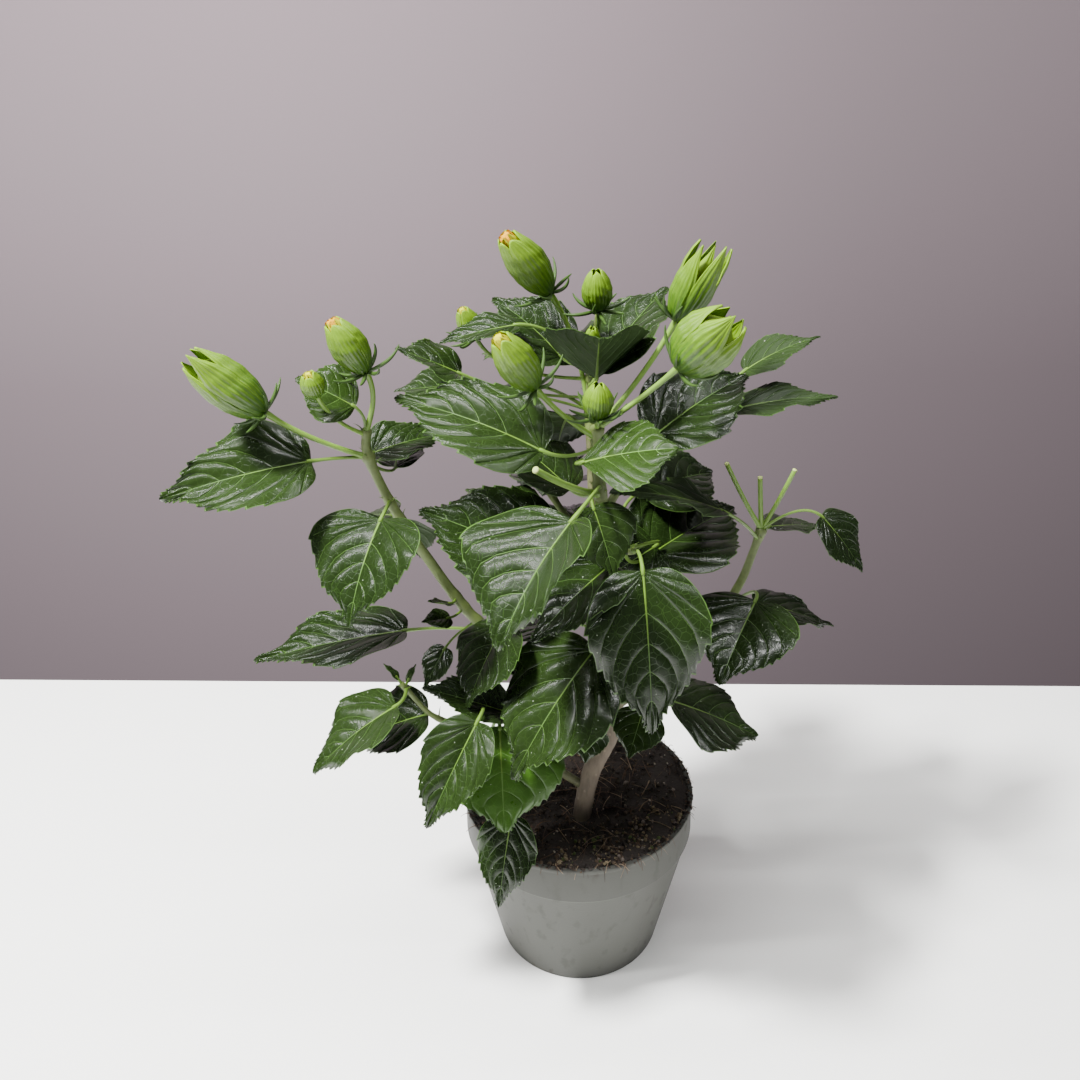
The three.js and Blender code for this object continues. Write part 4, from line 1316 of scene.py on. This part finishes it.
# The dry litter that has gathered at a part of the edge, in degrees
LITTER = 420
LITTER_TURNS = (-105, -25)
# The numbers of the materials of the soil's crumbs
PEAT, BARK, WOOD, GREY, GRAIN, DRY, MOSS = range(7)


def soil_pieces(random):
    """Loose crumbs of peat and bark, pale grains and fine roots on the soil and over the pot's rim."""
    crumbs, fibres = Joined(), Joined()
    for _ in range(CRUMBS):
        far = SOIL_EDGE * math.sqrt(random.uniform(0, 1)) + 0.3
        turn = random.uniform(0, 2 * math.pi)
        point = seat(far, turn)
        size = random.choice([0.5, 0.8, 1.2, 1.9], p=[0.35, 0.35, 0.22, 0.08])
        tone = random.choice([PEAT, BARK, WOOD, GREY], p=[0.55, 0.27, 0.15, 0.03])
        add_crumb(crumbs, point + (0, 0, size * random.uniform(-0.2, 0.6)), size, tone, random)
    for _ in range(EDGE_CRUMBS):
        turn = random.uniform(0, 2 * math.pi)
        far = random.uniform(SOIL_EDGE - 1.5, SOIL_EDGE + 3.2)
        size = random.choice([0.45, 0.8, 1.3], p=[0.4, 0.4, 0.2])
        height = SOIL_EDGE_LEVEL + 0.4 + random.uniform(0, 1.9)
        point = (far * math.cos(turn), far * math.sin(turn), height)
        tone = random.choice([PEAT, BARK, WOOD], p=[0.6, 0.25, 0.15])
        add_crumb(crumbs, point, size, tone, random)
    for _ in range(LITTER):
        far = SOIL_EDGE * (1 - 0.32 * random.uniform(0, 1) ** 1.5)
        turn = math.radians(random.uniform(*LITTER_TURNS))
        point = seat(far, turn) + (0, 0, random.uniform(0.1, 1.3))
        size = random.choice([0.5, 0.9, 1.5], p=[0.4, 0.4, 0.2])
        tone = random.choice([WOOD, GREY, DRY, MOSS], p=[0.3, 0.2, 0.4, 0.1])
        add_crumb(crumbs, point, size, tone, random)
    for _ in range(GRAINS):
        far = SOIL_EDGE * math.sqrt(random.uniform(0, 1)) * 0.97
        turn = random.uniform(0, 2 * math.pi)
        point = seat(far, turn) + (0, 0, 0.9)
        add_crumb(crumbs, point, random.uniform(0.5, 1.05), GRAIN, random)
    for _ in range(ROOTS):
        add_fibre(fibres, random, random.uniform(0, 0.97) ** 0.6 * SOIL_EDGE, 0.0)
    for _ in range(EDGE_ROOTS):
        add_fibre(fibres, random, SOIL_EDGE + random.uniform(-1.5, 2.6), random.uniform(0.5, 4.5))
    return crumbs, fibres


def add_fibre(fibres, random, far, hang):
    """A fine root that lies on the soil, or hangs out past the rim by a little."""
    turn, heading = random.uniform(0, 2 * math.pi, 2)
    length = random.uniform(5, 17) if hang == 0 else random.uniform(3, 7)
    if hang:
        heading = turn + random.uniform(-0.9, 0.9)
    start = seat(far, turn) + (0, 0, 0.9)
    start[2] = max(start[2], SOIL_EDGE_LEVEL + 0.8) if hang else start[2]
    t = np.linspace(0, 1, 7)[:, None]
    ahead = np.array([math.cos(heading), math.sin(heading), 0])
    beside = np.array([-ahead[1], ahead[0], 0])
    curl = random.uniform(-0.35, 0.35) * length
    arch = np.array([0, 0, 1.0]) * random.uniform(0.2, 1.6)
    path = start + ahead * length * t + beside * curl * t**2 + arch * np.sin(np.pi * t)
    path[:, 2] -= hang * t[:, 0] ** 2
    if hang == 0:
        reach = np.hypot(path[:, 0], path[:, 1])
        path[:, :2] *= np.minimum(1, (SOIL_EDGE - 1) / reach)[:, None]
        path[:, 2] = np.maximum(path[:, 2], soil_height(path) + 0.4)
    radii = np.linspace(1, 0.4, 7) * random.uniform(0.12, 0.34)
    tube(fibres, path, radii, 4, random.choice(3, p=[0.5, 0.35, 0.15]))


# The sizes and colours that a user would change


def color(name, description, value):
    return bpy.props.FloatVectorProperty(
        name=name, description=description, subtype="COLOR", size=3, min=0, max=1, default=value
    )


class PlantSettings(bpy.types.PropertyGroup):
    """The shrub's colours and gloss."""

    deep_green: color("Deep green", "Most of the old leaves", (0.0076, 0.0158, 0.0033))
    middle_green: color("Middle green", "The other full-grown leaves", (0.0102, 0.0208, 0.0042))
    fresh_green: color("Fresh green", "Lighter leaves and the bracts", (0.013, 0.0275, 0.0045))
    # The young green is partly painted light: it also makes a leaf lighter where the leaf is lit
    young_lit_green: color("Young green", "The youngest, yellowest leaves", (0.034, 0.085, 0.009))
    vein_green: color("Veins", "The midrib and side veins", (0.05, 0.1, 0.02))
    underside_green: color("Underside", "The leaves' dull underside", (0.018, 0.036, 0.008))
    margin_green: color("Margin", "The leaves' thin edge", (0.038, 0.085, 0.012))
    stalk_green: color("Stalks", "The leaf stalks", (0.09, 0.165, 0.02))
    stem_green: color("Stems", "The young stems", (0.095, 0.128, 0.034))
    sepal_base: color("Sepal foot", "The buds near their stalk", (0.024, 0.07, 0.004))
    sepal_tip: color("Sepal tip", "The buds near their tip", (0.14, 0.25, 0.006))
    petal_yellow: color("Yellow petals", "Petal tips that just show", (0.36, 0.36, 0.0))
    petal_orange: color("Orange petals", "Petal tips of the bud that opens first", (0.45, 0.22, 0.0))
    leaf_gloss: bpy.props.FloatProperty(
        name="Leaf roughness", description="How dull the leaves are", default=0.24, min=0, max=1
    )


class LimbSettings(bpy.types.PropertyGroup):
    """The trunk and its boughs."""

    trunk_bark: color("Trunk bark", "The old bark of the trunk", (0.15, 0.118, 0.085))
    bough_bark: color("Bough bark", "The greener bark of the boughs", (0.09, 0.095, 0.04))
    relief: bpy.props.FloatProperty(
        name="Relief", description="Height of the bark's ridges", default=0.00045, unit="LENGTH", min=0
    )


class PotSettings(bpy.types.PropertyGroup):
    """The nursery pot."""

    color: color("Pot", "Plastic of the pot", (0.08, 0.081, 0.073))
    rim_radius: bpy.props.FloatProperty(
        name="Rim radius", description="Radius over the lip", default=0.065, unit="LENGTH"
    )
    foot_radius: bpy.props.FloatProperty(
        name="Foot radius", description="Radius of the flat foot", default=0.048, unit="LENGTH"
    )
    height: bpy.props.FloatProperty(
        name="Height", description="From the foot to the rim", default=0.103, unit="LENGTH"
    )


class SoilSettings(bpy.types.PropertyGroup):
    """The potting soil."""

    color: color("Soil", "Damp peat", (0.028, 0.022, 0.019))
    grain_color: color("Grains", "Pale mineral grains", (0.42, 0.36, 0.3))
    seed: bpy.props.IntProperty(name="Seed", description="Which scatter of crumbs and roots", default=7)


class StageSettings(bpy.types.PropertyGroup):
    """Table, wall, light and camera."""

    table: color("Table", "The white table", (0.88, 0.88, 0.86))
    wall: color("Wall", "The wall behind", (0.24, 0.192, 0.212))
    key: bpy.props.FloatProperty(name="Key light", description="Power in watts", default=78, min=0)
    focal_length: bpy.props.FloatProperty(
        name="Focal length", description="On a 36 mm sensor, in millimetres", default=33.333, min=1
    )


# Operators


class HIBISCUS_OT_limbs(bpy.types.Operator):
    """Build the trunk and the boughs with their bark"""

    bl_idname = "hibiscus.limbs"
    bl_label = "Trunk and boughs"

    def execute(self, context):
        limbs = context.scene.hibiscus_limbs
        trunk_curve = Curve(TRUNK["axis"])

        def trunk_radius(t):
            height = trunk_curve.point(t)[2] - SOIL_LEVEL
            radius = TRUNK["radii"][0] + (TRUNK["radii"][1] - TRUNK["radii"][0]) * t
            return radius * (1 - FOOT_WAIST * math.exp(-height / WAIST_HEIGHT))

        relief = limbs.relief / MM
        trunk = limb_piece("trunk_bark", TRUNK["axis"], trunk_radius, TRUNK_SIDES, relief * 1.3)
        reshape(trunk, lambda points: np.maximum(points, (-999, -999, SOIL_LEVEL - 1)))
        young = context.scene.hibiscus_plant.stem_green
        bark = bark_finish("bark_grey_brown", limbs.trunk_bark, 0.75, (1, 1, 0.16), young)
        settle(trunk, [bark], ["trunk"])
        green_bark = bark_finish("bark_green_brown", limbs.bough_bark, 0.65, (1, 1, 1))
        for bough in BOUGHS:
            first, last = bough["radii"]
            name = f"{bough['name']}_bark"

            def bough_radius(t):
                return first + (last - first) * t

            piece = limb_piece(name, bough["axis"], bough_radius, BOUGH_SIDES, relief * 0.6)
            settle(piece, [green_bark], [bough["name"]])
        return {"FINISHED"}


class HIBISCUS_OT_foliage(bpy.types.Operator):
    """Grow the leaves, stalks and buds of every mass of foliage"""

    bl_idname = "hibiscus.foliage"
    bl_label = "Foliage and buds"

    def execute(self, context):
        plant = context.scene.hibiscus_plant
        taken = taken_points()
        leaf_set, twig_set, bud_set = leaf_finishes(plant), twig_finishes(plant), bud_finishes(plant)
        for k, mass in enumerate(MASSES):
            name = mass["name"]
            grown = grow(mass, taken) if "fill" in mass else []
            rows = [*mass["leaves"], *grown]
            tones = LEAF_TONES.get(name, "") + GROWN_TONES * len(grown)
            leaves, twigs, buds = Joined(), Joined(), Joined()
            numbers = seeded(101 + 7 * k)
            curve = Curve(mass["stem"])
            add_stem(twigs, mass, grown)
            for row, tone in zip(rows, tones):
                add_leaf(leaves, twigs, curve.point(row["at"]), row, TONES[tone], numbers)
            for row, tip in zip(mass["buds"], BUD_TIPS.get(name, "")):
                add_bud(buds, twigs, curve.point(row["at"]), row, tip, numbers)
            settle(leaves.build(f"{name}_leaves", leaf_set), None, [name])
            settle(twigs.build(f"{name}_twigs", twig_set), None, [name])
            if mass["buds"]:
                settle(buds.build(f"{name}_buds", bud_set), None, [name])
        return {"FINISHED"}


class HIBISCUS_OT_pot(bpy.types.Operator):
    """Turn the nursery pot"""

    bl_idname = "hibiscus.pot"
    bl_label = "Pot"

    def execute(self, context):
        scene = context.scene
        pot = turned("nursery_pot", pot_profile(scene.hibiscus_pot), POT_SIDES)
        close_ends(pot)
        smooth(pot, 28)
        settle(pot, [pot_finish(scene.hibiscus_pot, scene.hibiscus_soil)], ["pot"])
        return {"FINISHED"}


class HIBISCUS_OT_soil(bpy.types.Operator):
    """Fill the pot with loose potting soil"""

    bl_idname = "hibiscus.soil"
    bl_label = "Potting soil"

    def execute(self, context):
        soil = context.scene.hibiscus_soil
        side = [[SOIL_EDGE * 0.4, 6], [46, 6], [SOIL_EDGE - 0.4, 99], [SOIL_EDGE, 101]]
        top = [[SOIL_EDGE * (1 - k / SOIL_RINGS), SOIL_EDGE_LEVEL + 1] for k in range(SOIL_RINGS)]
        bed = turned("soil_bed", [*side, *top], SOIL_SIDES)

        def heap(points):
            lifted = points.copy()
            top = points[:, 2] > SOIL_EDGE_LEVEL
            lifted[top, 2] = soil_height(points[top])
            return lifted

        reshape(bed, heap)
        close_ends(bed)
        displace(bed, 2.4, 1.5)
        displace(bed, 0.9, 0.7)
        smooth(bed, 80)
        dark = plain_finish("soil_peat", soil.color, 0.95, 0.0015, 0.6, 0.0006)
        settle(bed, [dark], ["potting_soil"])
        crumbs, fibres = soil_pieces(np.random.default_rng(soil.seed))
        crumb_set = [
            plain_finish("peat_crumb", soil.color, 0.9, 0.001, 0.4, 0.0002),
            plain_finish("bark_crumb", (0.042, 0.028, 0.02), 0.85, 0.001, 0.4, 0.0002),
            plain_finish("wood_crumb", (0.085, 0.056, 0.035), 0.85, 0.001, 0.4, 0.0002),
            plain_finish("grey_crumb", (0.16, 0.13, 0.11), 0.85, 0.001, 0.3, 0.0002),
            plain_finish("pale_grain", soil.grain_color, 0.8, 0.001, 0.2, 0.0001),
            plain_finish("dry_crumb", (0.19, 0.15, 0.09), 0.9, 0.001, 0.4, 0.0002),
            plain_finish("moss_crumb", (0.07, 0.1, 0.03), 0.9, 0.001, 0.4, 0.0002),
        ]
        fibre_set = [
            plain_finish("root_brown", (0.09, 0.05, 0.03), 0.8),
            plain_finish("root_tan", (0.24, 0.17, 0.11), 0.8),
            plain_finish("root_dark", (0.03, 0.018, 0.012), 0.85),
        ]
        settle(crumbs.build("soil_crumbs", crumb_set), None, ["potting_soil"])
        settle(fibres.build("soil_roots", fibre_set), None, ["potting_soil"])
        return {"FINISHED"}


class HIBISCUS_OT_stage(bpy.types.Operator):
    """Set up the table, the wall, the light and the camera"""

    bl_idname = "hibiscus.stage"
    bl_label = "Table, light and camera"

    def execute(self, context):
        stage = context.scene.hibiscus_stage
        deselect()
        bpy.ops.mesh.primitive_plane_add(size=1, location=(0, TABLE_EDGE - TABLE_SIZE[1] / 2, 0))
        table = bpy.context.object
        table.name = "table_top"
        table.scale = TABLE_SIZE
        table.rotation_euler.z = math.radians(TABLE_TURN)
        table.data.materials.append(Finish("table_white", stage.table, 0.6).material)
        deselect()
        upright = (math.radians(90), 0, 0)
        bpy.ops.mesh.primitive_plane_add(size=1, location=(0, WALL_AT, 0), rotation=upright)
        wall = bpy.context.object
        wall.name = "wall"
        wall.scale = WALL_SIZE
        paint = Finish("wall_mauve", stage.wall, 0.9)
        # Painted shade: the wall's colour darkens towards its right, where less light falls
        across = paint.node("ShaderNodeSeparateXYZ", {}, {0: paint.place()}, "X")
        shaded = paint.step(across, *WALL_SHADE_SPAN)
        paint.set("Base Color", paint.mix(shaded, stage.wall, shade(stage.wall, WALL_SHADE_DEPTH)))
        wall.data.materials.append(paint.material)
        world = bpy.data.worlds.new("room")
        world.use_nodes = True
        background = world.node_tree.nodes["Background"]
        background.inputs["Color"].default_value = ROOM_COLOR
        background.inputs["Strength"].default_value = ROOM_STRENGTH
        context.scene.world = world
        for name, across, along, wide, deep, share in LIGHTS:
            place = (across, along, LIGHT_HEIGHT)
            add_light(name, place, (across, along, 0), (wide, deep), stage.key * share)
        soft = add_light("window_left", KEY_PLACE, (0, 0, 0.1), KEY_SIZE, stage.key)
        soft.visible_glossy = False
        add_camera(stage.focal_length)
        return {"FINISHED"}


def add_light(name, place, aim, size, power):
    data = bpy.data.lights.new(name, "AREA")
    data.shape, data.size, data.size_y = "RECTANGLE", *size
    data.energy, data.color = power, (1.0, 1.0, 0.99)
    light = bpy.data.objects.new(name, data)
    light.location = place
    light.rotation_euler = (Vector(aim) - Vector(place)).to_track_quat("-Z", "Y").to_euler()
    bpy.context.collection.objects.link(light)
    return light


def add_camera(focal_length):
    """The camera, a little left of the shrub and above it, looking down at 28 degrees."""
    data = bpy.data.cameras.new("camera")
    data.lens, data.sensor_width = focal_length, 36
    camera = bpy.data.objects.new("camera", data)
    pitch, roll = math.radians(CAMERA_PITCH), math.radians(CAMERA_ROLL)
    forward = Vector((0, math.cos(pitch), -math.sin(pitch)))
    level = Vector((0, math.sin(pitch), math.cos(pitch)))
    right = Vector((1, 0, 0)) * math.cos(roll) + level * math.sin(roll)
    up = level * math.cos(roll) - Vector((1, 0, 0)) * math.sin(roll)
    turn = Matrix((right, up, -forward)).transposed().to_4x4()
    camera.matrix_world = Matrix.Translation(CAMERA_PLACE) @ turn
    bpy.context.collection.objects.link(camera)
    bpy.context.scene.camera = camera


OPERATORS = (HIBISCUS_OT_pot, HIBISCUS_OT_soil, HIBISCUS_OT_limbs, HIBISCUS_OT_foliage, HIBISCUS_OT_stage)
SETTINGS = {
    "hibiscus_plant": PlantSettings, "hibiscus_limbs": LimbSettings, "hibiscus_pot": PotSettings,
    "hibiscus_soil": SoilSettings, "hibiscus_stage": StageSettings,
}


class HIBISCUS_PT_panel(bpy.types.Panel):
    """Lists what the shrub is built from"""

    bl_label = "Potted hibiscus"
    bl_space_type = "VIEW_3D"
    bl_region_type = "UI"
    bl_category = "Hibiscus"

    def draw(self, context):
        for operator in OPERATORS:
            self.layout.operator(operator.bl_idname)
        for name, group in SETTINGS.items():
            box = self.layout.box()
            box.label(text=group.__doc__)
            for prop in group.__annotations__:
                box.prop(getattr(context.scene, name), prop)


def register():
    for group in SETTINGS.values():
        bpy.utils.register_class(group)
    for kind in (*OPERATORS, HIBISCUS_PT_panel):
        bpy.utils.register_class(kind)
    for name, group in SETTINGS.items():
        setattr(bpy.types.Scene, name, bpy.props.PointerProperty(type=group))


def unregister():
    for name in SETTINGS:
        delattr(bpy.types.Scene, name)
    for kind in (*OPERATORS, HIBISCUS_PT_panel, *SETTINGS.values()):
        bpy.utils.unregister_class(kind)


def main():
    register()
    bpy.ops.hibiscus.pot()
    bpy.ops.hibiscus.soil()
    bpy.ops.hibiscus.limbs()
    bpy.ops.hibiscus.foliage()
    bpy.ops.hibiscus.stage()


if __name__ == "__main__":
    main()
